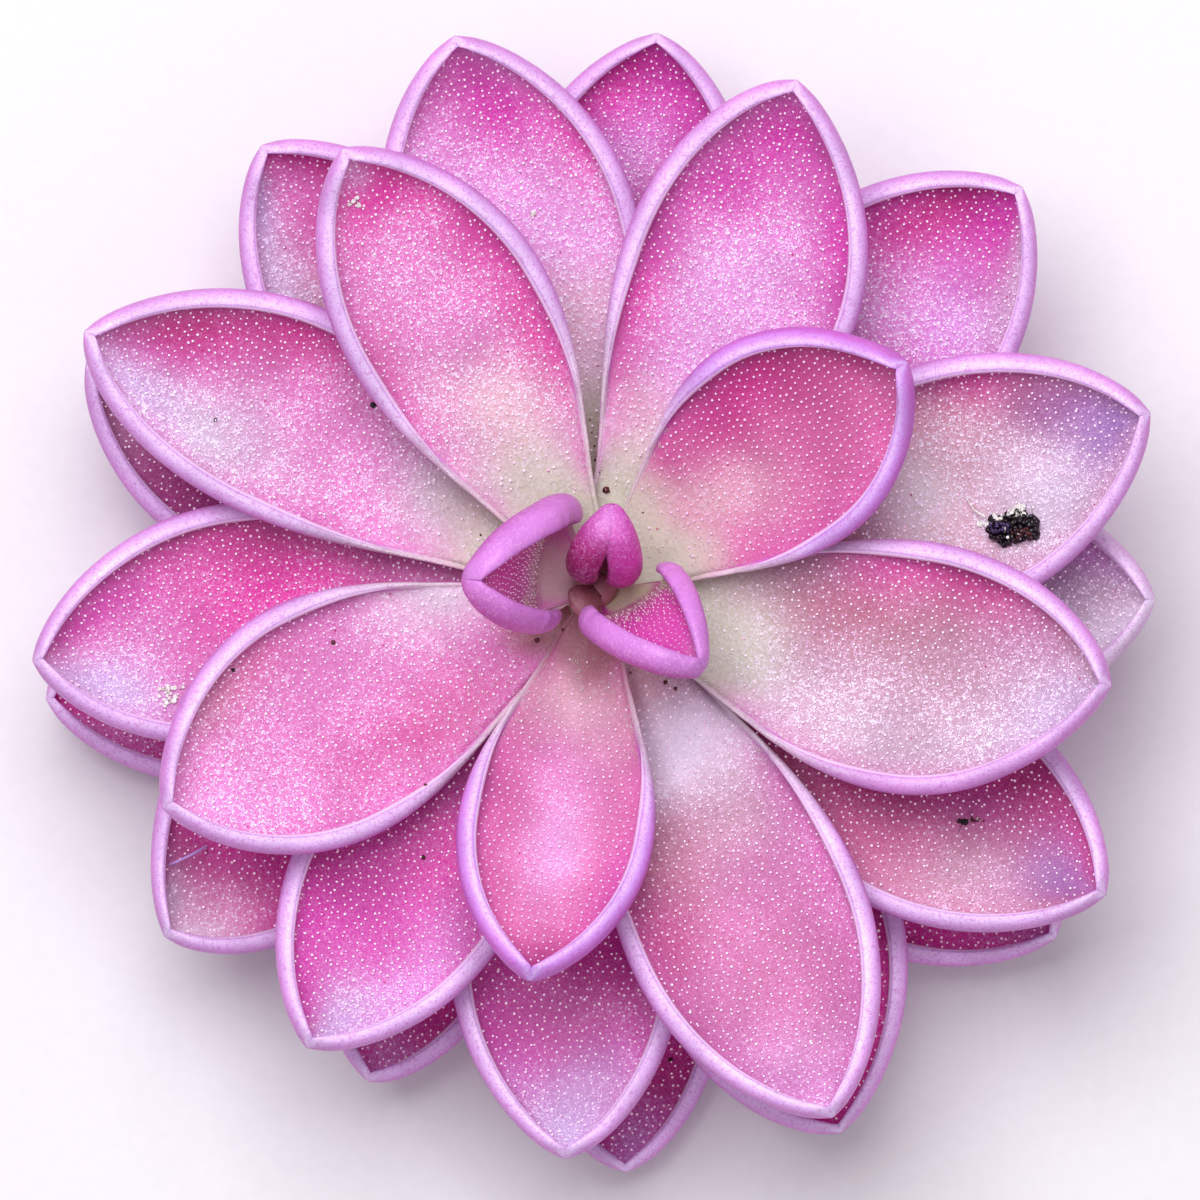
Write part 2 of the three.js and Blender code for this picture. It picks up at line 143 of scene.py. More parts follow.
# Youngest first, each 137.5 degrees further round than the next, give or take what light and room have made of it.
# Deep patches next to the rolled margins are partly the flesh's own colour and partly painted shade under the rolls.
GROWN = [
    Leaf("inner_leaf_1", 36.5, 15.4, 4.55, 0.35, "rose", 0.24, (("blush", 0.38, -0.1, 0.15, 0.55, 0.8),
        ("raspberry", 0.62, 0.75, 0.24, 0.5, 1), ("raspberry", 0.97, 0.6, 0.13, 0.55, 0.9)), margins=VIOLET),
    Leaf("inner_leaf_2", 260, 15.9, 3.95, 0, "rose", 0.15, (("peach", 0.2, 0, 0.14, 1.3, 0.7),
        ("blossom", 0.6, 0, 0.2, 0.42, 0.8), ("magenta", 0.78, 1, 0.16, 0.35, 0.9),
        ("magenta", 0.7, -1, 0.3, 0.25, 0.4), ("dusk", 0.38, 0, 0.1, 0.9, 0.4), ("wine", 0.98, 0.1, 0.08, 1.4, 0.8)),
        "clay", VIOLET),
    Leaf("middle_leaf_1", 120, 20.4, 4.35, -0.25, "orchid", 0.2, (("ivory", 0.22, 0.1, 0.1, 1, 0.9),
        ("peach", 0.35, -0.1, 0.12, 0.8, 0.9), ("rose", 0.42, -1, 0.16, 0.45, 1),
        ("raspberry", 0.48, -0.7, 0.08, 0.3, 0.6), ("rose", 0.55, 0.95, 0.14, 0.35, 0.8),
        ("cerise", 0.72, -1.1, 0.24, 0.6, 1), ("cerise", 0.9, -0.2, 0.09, 1.3, 1),
        ("blossom", 0.98, 0.5, 0.05, 0.8, 0.6))),
    # Its right margin is darkened with painted shade.
    Leaf("middle_leaf_2", 349.5, 20.9, 5.1, -0.8, "mauve", 0.24, (("ivory", 0.22, -0.4, 0.09, 0.8, 0.9),
        ("orchid", 0.24, -0.95, 0.1, 0.3, 0.8), ("pearl", 0.6, -0.75, 0.35, 0.5, 0.4),
        ("salmon", 0.46, 0.5, 0.2, 0.4, 0.9), ("cerise", 0.6, 1, 0.17, 0.35, 0.8), ("raspberry", 0.72, 1, 0.16, 0.4, 1),
        ("dusk", 0.82, 0.5, 0.1, 0.4, 0.4), ("lavender", 0.92, -0.5, 0.13, 0.8, 0.6)),
        margin_patches=(("lilac_shade", 0.55, -1.8, 0.4, 0.5, 0.7),)),
    Leaf("middle_leaf_3", 206.5, 19.5, 5, -0.2, "orchid", 0.12, (("frost", 0.24, -0.85, 0.12, 0.5, 0.8),
        ("raspberry", 0.4, 0.6, 0.13, 0.35, 0.8), ("raspberry", 0.56, 0.45, 0.1, 0.4, 0.4),
        ("rose", 0.28, 0.5, 0.14, 0.6, 0.8), ("rose", 0.68, -0.9, 0.1, 0.4, 1), ("salmon", 0.8, -0.8, 0.1, 0.4, 0.7),
        ("blossom", 0.93, 0.5, 0.13, 0.6, 0.5)), "clay"),
    Leaf("middle_leaf_4", 68.7, 21.9, 4.95, -0.85, "blossom", 0.2, (("peach", 0.26, 0.5, 0.08, 0.8, 0.7),
        ("cerise", 0.46, 1, 0.2, 0.4, 1), ("magenta", 0.66, 1.1, 0.16, 0.5, 1), ("magenta", 0.76, 0.5, 0.12, 0.6, 0.9),
        ("magenta", 0.74, -1, 0.2, 0.55, 1), ("magenta", 0.9, 0, 0.14, 1.5, 1))),
    Leaf("middle_leaf_5", 294, 23.1, 4.95, 0, "dusk", 0.12, (("frost", 0.23, 0.15, 0.11, 1.3, 1),
        ("bloom_and_highlight", 0.22, 0.2, 0.09, 1, 0.6), ("blush", 0.1, 0, 0.06, 1, 0.6), ("mauve", 0.4, 0.3, 0.1, 0.6, 0.9),
        ("rose", 0.68, 0, 0.22, 1.2, 0.6), ("salmon", 0.42, -0.5, 0.12, 0.45, 0.9),
        ("raspberry", 0.54, -0.8, 0.12, 0.4, 0.8), ("orchid", 0.6, 0.95, 0.3, 0.3, 0.4),
        ("blossom", 0.95, -0.3, 0.1, 1.1, 0.6)), "blush"),
    Leaf("middle_leaf_6", 153.3, 23, 4.4, -0.8, "orchid", 0.22, (("pearl", 0.25, 0, 0.11, 0.7, 0.8),
        ("raspberry", 0.66, -0.85, 0.16, 0.45, 1), ("magenta", 0.83, -0.1, 0.11, 0.5, 0.9),
        ("raspberry", 0.82, -0.55, 0.12, 0.45, 1), ("pearl", 0.7, 0.6, 0.16, 0.5, 0.9),
        ("lavender", 0.88, 0.6, 0.1, 0.5, 0.7))),
    Leaf("middle_leaf_7", 17.8, 23.2, 5.1, -0.45, "blush", 0.2, (("milk", 0.51, 0, 0.08, 0.4, 0.9),
        ("raspberry", 0.72, 1, 0.16, 0.45, 1), ("wine", 0.86, 0.5, 0.11, 0.4, 0.9),
        ("mauve", 0.68, -0.85, 0.1, 0.35, 0.6), ("pearl", 0.76, -0.5, 0.13, 0.8, 0.9),
        ("dusk_lavender", 0.93, 0.1, 0.12, 0.9, 1))),
    Leaf("middle_leaf_8", 237.5, 21.7, 4.6, -0.25, "magenta", 0.1, (("cerise", 0.5, 0.4, 0.12, 1, 0.5),
        ("cerise", 0.64, -0.9, 0.08, 0.3, 0.6), ("lilac_shade", 0.8, 0.75, 0.16, 0.4, 0.7),
        ("lavender", 0.95, 0.45, 0.11, 0.7, 0.8))),
    Leaf("middle_leaf_9", 104.5, 22.9, 5.15, -0.2, "blossom", 0.22, (("ivory", 0.24, -0.4, 0.1, 1, 1),
        ("peach", 0.4, 0, 0.1, 1.2, 0.9), ("cerise", 0.76, -1, 0.12, 0.45, 0.9), ("magenta", 0.84, -0.3, 0.1, 0.6, 1),
        ("magenta", 0.93, 0.3, 0.11, 1.2, 0.8)), "straw"),
    Leaf("outer_leaf_1", 329, 23.7, 5, -0.3, "raspberry", 0.1, (("blush", 0.8, -1, 0.2, 0.4, 0.8),
        ("mauve", 0.76, -0.4, 0.12, 0.5, 0.8), ("dusk_lavender", 0.92, -0.1, 0.1, 0.7, 0.8),
        ("magenta", 0.7, 0.1, 0.08, 0.3, 0.5))),
    Leaf("outer_leaf_2", 187.1, 22.8, 4.8, -0.5, "orchid", 0.1, (("cerise", 0.5, -0.3, 0.2, 0.8, 0.9),
        ("raspberry", 0.62, -0.9, 0.2, 0.45, 0.9), ("magenta", 0.86, -0.6, 0.12, 0.5, 0.8),
        ("lavender", 0.88, 0.7, 0.15, 0.55, 0.9))),
    Leaf("outer_leaf_3", 43.5, 23.4, 5.3, -0.2, "magenta", 0.1, (("lilac_shade", 0.7, -0.5, 0.13, 0.6, 1),
        ("blossom", 0.64, 0.2, 0.12, 0.6, 0.9), ("pearl", 0.86, -0.95, 0.16, 0.4, 0.8),
        ("raspberry", 0.85, 0.55, 0.12, 0.35, 0.9))),
    Leaf("outer_leaf_4", 266.7, 22.8, 4.7, -0.4, "magenta", 0.1, (("cerise", 0.62, 0.2, 0.12, 1, 0.7),
        ("orchid", 0.7, 0.2, 0.08, 1.2, 0.5), ("lilac_shade", 0.85, 0.2, 0.07, 1.2, 0.6),
        ("lavender", 0.96, 0.1, 0.11, 1.2, 0.9))),
    Leaf("outer_leaf_5", 127.1, 22.3, 4.7, 0.05, "cerise", 0.1, (("raspberry", 0.88, -0.5, 0.08, 0.4, 0.8),
        ("orchid", 0.91, 0, 0.08, 0.5, 0.7), ("straw", 0.62, 0.6, 0.1, 0.5, 0.7), ("pearl", 0.76, 0.85, 0.16, 0.5, 1),
        ("lavender", 0.9, 0.8, 0.12, 0.4, 0.9))),
    Leaf("outer_leaf_6", 359, 22.3, 4.95, -0.25, "pearl", 0.1, (("dusk", 0.6, 0, 0.16, 1.2, 0.6),
        ("frost", 0.86, -0.5, 0.1, 0.5, 0.9), ("mauve", 0.92, 0.2, 0.08, 0.5, 0.5),
        ("lilac_shade", 0.84, 0.7, 0.12, 0.3, 0.8)), margin_patches=(("frost", 0.85, -1.75, 0.3, 0.5, 0.8),
        ("frost", 0.85, 1.75, 0.3, 0.5, 0.6))),
    Leaf("outer_leaf_7", 218.6, 22.2, 5.1, -1.2, "cerise", 0.1, (("wine", 0.84, -0.5, 0.12, 0.35, 0.6),
        ("frost", 0.95, 0.5, 0.11, 0.7, 0.8), ("pearl", 0.97, -0.4, 0.07, 0.5, 0.8))),
    Leaf("outer_leaf_8", 83.9, 22.4, 4.95, 0.35, "magenta", 0.1, (("lilac_shade", 0.76, 0.3, 0.1, 0.7, 0.7),
        ("blossom", 0.7, 0.1, 0.09, 0.6, 0.6), ("cerise", 0.93, 0.6, 0.1, 0.6, 0.6))),
    Leaf("lowest_leaf_1", 294.1, 23.8, 5.3, 0.7, "cerise", 0.1),
    Leaf("lowest_leaf_2", 156.1, 22.4, 5, 0.1, "dusk", 0.1, (("raspberry", 0.72, 0.5, 0.12, 0.8, 0.6),
        ("mauve", 0.9, 0.9, 0.12, 0.5, 0.7))),
    Leaf("lowest_leaf_3", 24, 18.8, 4.2, 0, "magenta", 0.1),
    Leaf("lowest_leaf_4", 244.9, 21.7, 4.4, -1.1, "cerise", 0.1, (("blossom", 0.97, 0.5, 0.08, 1, 0.7),)),
    Leaf("lowest_leaf_5", 106, 20.5, 4.2, 0, "magenta", 0.1),
    Leaf("lowest_leaf_6", 322.8, 23, 4.9, -0.4, "cerise", 0.1, (("blossom", 0.97, 0, 0.08, 1, 0.6),)),
    Leaf("lowest_leaf_7", 191.2, 22.5, 4.75, 0.1, "cerise", 0.1, (("orchid", 0.9, 0.9, 0.12, 0.5, 0.8),)),
    Leaf("lowest_leaf_8", 55, 18.4, 4.2, 0, "magenta", 0.1),
    Leaf("lowest_leaf_9", 272.7, 23.3, 4.5, 0, "cerise", 0.1, (("raspberry", 0.84, 0.5, 0.08, 0.8, 0.7),
        ("lilac_shade", 0.96, 0.2, 0.08, 1, 0.9))),
]

PETAL = ("petal", "petal_shade")
# The bud and three leaves that stand folded, whose sizes don't follow from the spiral.
HEART = [
    Leaf("heart_bud", 219, 1.3, 0.95, 0, "shaded_floor", 0.1, (("clay", 0.8, 0, 0.35, 0.8, 0.8),), "shaded_floor", ("shaded_floor", "shaded_floor"),
        rank=-1, foot_height=8.5, tip_height=9.25, arch=0.25, rolled_from=0.3, roll=0.05, roll_end=6, blade=0.35,
        margin=0.35, dish=3),
    # Its margin patches darken its lower and left parts: partly the flesh's own colour, partly painted shade.
    Leaf("heart_leaf_1", 80, 3.5, 1.55, 0, "wine", 0.05, (), "shaded_floor", PETAL, (("magenta", 0.45, 1.5, 0.4, 1.2, 1.4),
        ("raspberry", 0.45, 1.6, 0.3, 0.6, 1.6), ("wine", 0.4, 1.6, 0.35, 0.6, 1.1),
        ("magenta", 0.4, -1.5, 0.6, 1.2, 1.4)), rank=0, foot_reach=1.6, foot_height=8.35, tip_height=12.6, hollow=0.48,
        arch=0.4, bank=4, widest_at=0.38, foot_width=0.7, tip_sharpness=0.52, rolled_from=0.3, roll=0.6, roll_end=238,
        blade=0.44, margin=0.44, dish=38),
    # The magenta patch on its lower arm's outer flank is painted shade.
    Leaf("heart_leaf_2", 321, 5.35, 2.42, 0, "magenta", 0.06, (("rose", 0.45, 0.3, 0.3, 0.8, 0.3),
        ("blush", 0.13, 0, 0.06, 1.5, 0.8)), "straw", PETAL, (("magenta", 0.75, -1.2, 0.3, 0.3, 0.5),
        ("milk", 0.08, -1.5, 0.08, 0.6, 1)), rank=1, foot_reach=1.6, foot_shift=0.3, foot_height=8.1, tip_height=13.4,
        hollow=0.7, arch=1.15, bank=-22, widest_at=0.3, foot_width=0.75, tip_sharpness=0.6, rolled_from=0.25, roll=0.48,
        blade=0.5, margin=0.5, dish=24),
    # The magenta patch on its lower arm is painted shade.
    Leaf("heart_leaf_3", 175, 5.48, 2.85, -0.2, "orchid", 0.06, (("cerise", 0.7, 0, 0.4, 0.9, 0.8),
        ("peach", 0.15, 0, 0.08, 1.5, 1)), "peach", PETAL, (("magenta", 0.7, 1.3, 0.5, 0.45, 0.75),), rank=2,
        foot_reach=2.6, foot_shift=-1.1, foot_height=7.85, tip_height=14.2, hollow=0.4, arch=1.3, bank=-7,
        widest_at=0.2, foot_width=0.95, tip_sharpness=0.55, rolled_from=0.15, roll=0.6, roll_end=200, blade=0.56,
        margin=0.56, dish=20),
]


# ------------------------------------------------------------------ small helpers
def lerp(a, b, share):
    return a + (b - a) * share


def ease(value, low, high):
    """0 below low, 1 above high and a smooth rise between."""
    share = np.clip((value - low) / (high - low), 0, 1)
    return share * share * (3 - 2 * share)


def bell(value, middle, width):
    return np.exp(-(((value - middle) / width) ** 2))


def unit(directions):
    return directions / np.linalg.norm(directions, axis=1, keepdims=True)


def linear(code):
    """A colour written as sRGB hex, as the linear numbers that a shader takes."""
    parts = [int(code[i:i + 2], 16) / 255 for i in (1, 3, 5)]
    return tuple(p / 12.92 if p <= 0.04045 else ((p + 0.055) / 1.055) ** 2.4 for p in parts)


def deselect():
    if bpy.context.mode != "OBJECT":
        bpy.ops.object.mode_set(mode="OBJECT")
    bpy.ops.object.select_all(action="DESELECT")


def drawn(operator, **settings):
    """Adds an object by its operator, with nothing else selected, and returns it."""
    deselect()
    operator(**settings)
    return bpy.context.active_object


def activate(piece):
    deselect()
    bpy.context.view_layer.objects.active = piece
    piece.select_set(True)


def edit_all():
    """Opens the active piece in edit mode with all of it selected."""
    bpy.ops.object.mode_set(mode="EDIT")
    bpy.ops.mesh.select_all(action="SELECT")


def extrude(x, y, z):
    bpy.ops.mesh.extrude_region_move(TRANSFORM_OT_translate={"value": (x, y, z)})


def name_piece(piece, name):
    piece.name = piece.data.name = name


def points_of(piece):
    found = np.empty(len(piece.data.vertices) * 3, np.float64)
    piece.data.vertices.foreach_get("co", found)
    return found.reshape(-1, 3)


def triangles_of(piece):
    piece.data.calc_loop_triangles()
    found = np.empty(len(piece.data.loop_triangles) * 3, np.int32)
    piece.data.loop_triangles.foreach_get("vertices", found)
    return found.reshape(-1, 3)


def move_points(piece, places):
    piece.data.vertices.foreach_set("co", places.astype(np.float32).ravel())
    piece.data.update()


def write_field(piece, name, values):
    field = piece.data.attributes.new(name, "FLOAT", "POINT")
    field.data.foreach_set("value", np.asarray(values, np.float32))


def write_colour(piece, name, tint, alpha):
    field = piece.data.attributes.new(name, "FLOAT_COLOR", "POINT")
    field.data.foreach_set("color", np.hstack([tint, alpha[:, None]]).astype(np.float32).ravel())


def turn_outward(piece):
    activate(piece)
    edit_all()
    bpy.ops.mesh.normals_make_consistent(inside=False)
    bpy.ops.object.mode_set(mode="OBJECT")
    bpy.ops.object.shade_smooth()


def hand_over(piece, material, stands_for=()):
    """Gives a finished piece its material and its body."""
    piece.data.materials.clear()
    piece.data.materials.append(material)
    if stands_for:
        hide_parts(*stands_for)
    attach(piece, "root")


# ------------------------------------------------------------------ the leaf's shape
def stem_radius(height):
    return lerp(STEM_CUT_RADIUS, STEM_TOP_RADIUS, np.clip(height / STEM_HEIGHT, 0, 1) ** STEM_TAPER)


def place_leaves():
    """Completes the tables above: a grown leaf's foot and tip follow from its rank."""
    for place, leaf in enumerate(GROWN):
        leaf.rank = FIRST_GROWN_RANK + place
        leaf.foot_height = FOOT_HEIGHT - FOOT_STEP * leaf.rank
        leaf.foot_reach = float(stem_radius(leaf.foot_height)) + STEM_CLEARANCE
        leaf.tip_height = TIP_HEIGHT - TIP_STEP * leaf.rank
        leaf.arch = -lerp(YOUNG_SAG, OLD_SAG, leaf.rank / OLDEST_RANK)
    for leaf in HEART:
        leaf.keel, leaf.prow = leaf.margin, 0


place_leaves()


def midrib(leaf, along):
    """Centre, left and up directions of the section at each share of the midrib."""
    azimuth = leaf.azimuth * DEGREE
    outward = np.array([math.cos(azimuth), math.sin(azimuth), 0])
    leftward = np.array([-outward[1], outward[0], 0])
    rise = np.array([0, 0, 1.0])
    foot = outward * leaf.foot_reach + leftward * leaf.foot_shift + rise * leaf.foot_height
    tip = outward * leaf.reach + rise * leaf.tip_height
    control = (foot + tip) / 2 + leftward * 2 * leaf.bow - outward * 2 * leaf.hollow + rise * 2 * leaf.arch
    t = along[:, None]
    centre = (1 - t) ** 2 * foot + 2 * t * (1 - t) * control + t * t * tip
    tangent = unit((1 - t) * (control - foot) + t * (tip - control))
    turn = leaf.bank * DEGREE
    left = (leftward * math.cos(turn) + np.cross(tangent, leftward) * math.sin(turn)
            + tangent * (tangent @ leftward)[:, None] * (1 - math.cos(turn)))
    centre[:, 2] += leaf.prow * ease(along, PROW_FROM, 1) ** 2
    return centre, left, unit(np.cross(tangent, left))


def half_width(leaf, along):
    near = np.clip(along, 0, 1)
    inward = np.clip(1 - near / leaf.widest_at, 0, 1)
    outward = np.clip((near - leaf.widest_at) / (1 - leaf.widest_at), 0, 1)
    share = np.where(near < leaf.widest_at, lerp(leaf.foot_width, 1, np.cos(inward * math.pi / 2) ** FOOT_TAPER),
                     (1 - outward ** 2) ** leaf.tip_sharpness)
    blunt = TIP_ROUND * ease(near, BLUNT_FROM, TIP_ROUND_FROM)
    end = np.clip((near - TIP_ROUND_FROM) / (1 - TIP_ROUND_FROM), 0, 0.98)
    return np.hypot(leaf.half * share, blunt) * np.sqrt(1 - end ** 2)


def section(leaf, along, fold):
    """Across, height, slope and thickness at each fold: up to 1 on the blade, from 1 to 2 on the rolled margin."""
    width = half_width(leaf, along)
    if leaf.grown:
        thinness, tightest_margin = lerp(THIN_FOOT, 1, ease(along, 0.12, 0.5)), TIGHTEST_MARGIN
        tightest_roll = lerp(TIGHTEST_ROLL, MEETING_ROLL, ease(along, MEET_FROM, 1))
    else:
        thinness, tightest_margin, tightest_roll = 1, TIGHTEST_HEART_MARGIN, MEETING_ROLL
    margin = np.minimum(leaf.margin * thinness, tightest_margin * width)
    rolled = ease(along, 0, leaf.rolled_from)
    roll = np.minimum(lerp(FOOT_ROLL, leaf.roll, rolled), tightest_roll * width - margin / 2)
    roll_end = lerp(FOOT_ROLL_END, leaf.roll_end, rolled) * DEGREE
    keel = np.minimum(lerp(leaf.keel, leaf.blade, ease(along, 0, 0.5)), TIGHTEST_KEEL * width)

    # Seen from the end, the blade is an arc of half angle dish, and the roll a tighter arc that goes on from it.
    dish = leaf.dish * DEGREE
    roll_centre = width - roll - margin / 2
    bend = roll_centre + roll * math.sin(dish)
    blade_radius = bend / math.sin(dish)
    size = np.abs(fold)
    on_blade, on_roll = np.clip(size, 0, 1), np.clip(size - 1, 0, 1)
    slope = dish * on_blade + (roll_end - dish) * on_roll
    across = np.where(size <= 1, blade_radius * np.sin(slope), roll_centre + roll * np.sin(slope))
    height = np.where(size <= 1, blade_radius * (1 - np.cos(slope)),
                      bend * math.tan(dish / 2) + roll * (math.cos(dish) - np.cos(slope)))

    # The flesh thins from the keel to the shoulder, then to where the roll stands upright, then to its edge.
    upright = np.minimum(math.pi / 2, lerp(dish, roll_end, 0.6))
    shoulder = lerp(keel, margin, 0.6)
    up_the_side = lerp(shoulder, margin, (slope - dish) / (upright - dish))
    to_the_edge = lerp(margin, margin * 0.8, np.clip((slope - upright) / (roll_end - upright), 0, 1))
    thick = np.where(slope < dish, lerp(keel, shoulder, slope / dish),
                     np.where(slope < upright, up_the_side, to_the_edge))
    rounding = (np.clip(on_roll, EDGE_ROUND_FROM, 1) - EDGE_ROUND_FROM) / (1 - EDGE_ROUND_FROM)
    thick = thick * np.sqrt(np.clip(1 - rounding ** 2, 0.06, 1))
    return np.sign(fold) * across, height, np.sign(fold) * slope, thick


def waves(leaf, along, fold):
    """The blade's slight unevenness and the frill of the margin near the foot, in millimetres."""
    phase = np.random.default_rng(WAVE_SEED + leaf.rank).uniform(0, 2 * math.pi, 6)
    size = np.abs(fold)
    blade = (0.05 * np.sin(5.2 * along + phase[0]) * np.sin(2.4 * fold + phase[1])
             + 0.035 * np.sin(11 * along + 1.9 * fold + phase[2]))
    margin = 0.05 * np.sin(14 * along + phase[3] + np.sign(fold)) + 0.025 * np.sin(31 * along + phase[4] - fold)
    frill = 0.07 * np.sin(46 * along + phase[5] * np.sign(fold)) + 0.05 * np.sin(83 * along + phase[0])
    frill = frill * bell(along, 0.3, 0.16) * ease(size, 1.2, 1.9)
    weight = ease(along, 0.1, 0.35) * (1 - ease(along, 0.93, 1))
    return (lerp(blade, margin, ease(size, 0.8, 1.4)) * weight + frill) * min(1, leaf.half / 5)


def skin_points(leaf, along, fold, side):
    """Places and outward directions on a leaf's skin, over the blade for side 1 and under it for side -1."""
    centre, left, up = midrib(leaf, along)
    across, height, slope, thick = section(leaf, along, fold)
    out_left, out_up = -np.sin(slope) * side, np.cos(slope) * side
    height = height + waves(leaf, along, fold)
    places = centre + left * (across + out_left * thick / 2)[:, None] + up * (height + out_up * thick / 2)[:, None]
    return places, left * out_left[:, None] + up * out_up[:, None]


def onto_stem(along, places):
    """Draws the foot of a leaf in until it is fused with the crown stem."""
    reach = np.hypot(places[:, 0], places[:, 1])
    inside = stem_radius(places[:, 2]) - FOOT_SUNK
    weight = (1 - ease(along, FOOT_START, FOOT_FUSED_TO)) * np.clip(1 - inside / np.maximum(reach, 1e-6), 0, 1)
    return places * np.stack([1 - weight, 1 - weight, np.ones_like(weight)], axis=1)


def lumps(places, size):
    """Smooth noise, mostly from -0.5 to 0.5, whose lumps are size millimetres apart."""
    return np.array([noise.noise(Vector(place)) for place in places / size])


def laid_over(tint, colour, share):
    """Colours with another one laid over them, as strongly as share says."""
    return lerp(tint, colour, np.clip(share, 0, 1)[:, None])


def paint(leaf, along, fold, side, places, palette):
    """Colour of each point of a leaf's skin, the strength of the pale marks there, and the share of margin."""
    phase = np.random.default_rng(PAINT_SEED + leaf.rank).uniform(0, TURN, 3)
    wobble = (np.sin(9 * along + 2.3 * fold + phase[0]) + np.sin(17 * along - 3.1 * fold + phase[1])
              + 0.6 * np.sin(29 * along + 5.3 * fold + phase[2])) / 2.6
    across, size = np.clip(fold, -1, 1), np.abs(fold)
    tint = np.tile(palette[leaf.flesh], (len(along), 1))
    for colour, middle, off, length, width, strength in leaf.patches:
        share = bell(along + 0.03 * wobble, middle, length) * bell(across + 0.1 * wobble, off, width)
        tint = laid_over(tint, palette[colour], strength * share)
    if leaf.grown:  # painted shade: a deeper line where the blade turns up into the roll, under its overhang
        tint = laid_over(tint, palette["magenta"], 0.4 * bell(size, 1.05, 0.2) * ease(along, 0.25, 0.5))
    foot_end = leaf.foot + 0.04 * wobble - 0.06 * across ** 2
    tint = laid_over(tint, palette[leaf.foot_colour], 1 - ease(along, foot_end * 0.5, foot_end * 1.6))
    marked = lerp(0.45, 1, ease(along, 0.15, 0.45)) * (1 - 0.2 * ease(along, 0.8, 0.97))

    # The margins: where their top is lit, and where along the leaf they and the underside start.
    if leaf.grown:
        lit_between, margin_starts, underside_starts = (1.42, 1.76), (0.14, 0.42), (0.12, 0.4)
    else:
        lit_between, margin_starts, underside_starts = (1.1, 1.6), (0.05, 0.3), (-0.02, 0.25)
    lit, shaded = (palette[colour] for colour in leaf.margins)
    outside = lerp(shaded, lit, ease(size, *lit_between)[:, None])
    rim = np.where(side > 0, ease(size, 1, 1.25) * ease(along, *margin_starts), 1)
    tint = laid_over(tint, outside, rim * np.where(side > 0, 1, ease(along, *underside_starts)))
    for colour, middle, off, length, width, strength in leaf.margin_patches:
        tint = laid_over(tint, palette[colour], rim * strength * bell(along, middle, length) * bell(fold, off, width))
    if leaf.grown:  # waxy bloom with a painted highlight on top of the roll, and a thin pale margin at the foot
        wax_and_highlight = 0.45 * bell(size, 1.8, 0.07) * (1 + 0.5 * wobble) * ease(along, 0.2, 0.5)
        tint = laid_over(tint, palette["bloom_and_highlight"], rim * wax_and_highlight)
        tint = laid_over(tint, palette["milk"], 0.8 * ease(size, 1.35, 1.6) * bell(along, 0.28, 0.15))
    blotch = lumps(places, BLOTCHES)
    tint = tint * (0.94 + 0.16 * blotch + 0.08 * lumps(places, MOTTLES))[:, None]
    return np.clip(tint, 0, 1), marked * ease(blotch, -1.5, 0.3), rim


def build_leaf(leaf, material, palette):
    """A sheet is drawn, given its thickness, and laid on the leaf's form."""
    piece = drawn(bpy.ops.mesh.primitive_grid_add, x_subdivisions=COLUMNS, y_subdivisions=ROWS, size=1, calc_uvs=False)
    edit_all()
    extrude(0, 0, 1)
    bpy.ops.object.mode_set(mode="OBJECT")
    name_piece(piece, leaf.name + "_skin")
    sheet = points_of(piece)
    column, row = 2 * sheet[:, 0], sheet[:, 1] + 0.5
    side = np.where(sheet[:, 2] > 0.5, 1.0, -1.0)
    blade_share = BLADE_COLUMNS / COLUMNS
    share = np.abs(column)
    size = np.where(share < blade_share, share / blade_share, 1 + (share - blade_share) / (1 - blade_share))
    fold = np.sign(column) * size
    along = lerp(FOOT_START, 1, 1 - (1 - row) ** TIP_CROWDING)
    places = onto_stem(along, skin_points(leaf, along, fold, side)[0])
    places[:, 2] = np.maximum(places[:, 2], 0)  # the oldest leaf presses its keel flat on the surface
    move_points(piece, places * MM)
    tint, marked, rim = paint(leaf, along, fold, side, places, palette)
    edged = ease(along, 0.22, 0.5) * (1 - ease(along, 0.95, 0.98))  # the pale edge fades at foot and tip
    write_colour(piece, "flesh", tint, marked)
    write_field(piece, "rim", rim)
    write_field(piece, "fold", size * leaf.grown * lerp(0.93, 1, edged))
    turn_outward(piece)
    hand_over(piece, material, [leaf.name])


# ------------------------------------------------------------------ materials
SMOOTH = {"interpolation_type": "SMOOTHSTEP"}  # for a Map Range node, fed with its value, from pair and to pair
COLOURS = {"data_type": "RGBA"}  # for a Mix node, whose inputs and result are then these
SHARE, UNDER, OVER, MIXED = 0, 6, 7, 2


def feed(tree, node, inputs):
    """Gives each input of a node a link, a number, or a colour written as sRGB hex."""
    for socket, value in inputs.items():
        if isinstance(value, bpy.types.NodeSocket):
            tree.links.new(value, node.inputs[socket])
        else:
            node.inputs[socket].default_value = (*linear(value), 1) if isinstance(value, str) else value


def add(tree, kind, inputs=(), output=0, **settings):
    """Adds a node with its settings, feeds its inputs, in order or by name, and returns one of its outputs."""
    node = tree.nodes.new("ShaderNode" + kind)
    for name, value in settings.items():
        setattr(node, name, value)
    feed(tree, node, inputs if isinstance(inputs, dict) else dict(enumerate(inputs)))
    return node.outputs[output]


def overlay(tree, base, top, value, off, on, strength=1):
    """A colour with another laid over it, from not at all where value is off to its full strength where it is on."""
    share = add(tree, "MapRange", (value, off, on, 0, strength), **SMOOTH)
    return add(tree, "Mix", {SHARE: share, UNDER: base, OVER: top}, MIXED, **COLOURS)


def new_material(name):
    material = bpy.data.materials.new(name)
    material.use_nodes = True
    return material, material.node_tree, material.node_tree.nodes["Principled BSDF"]


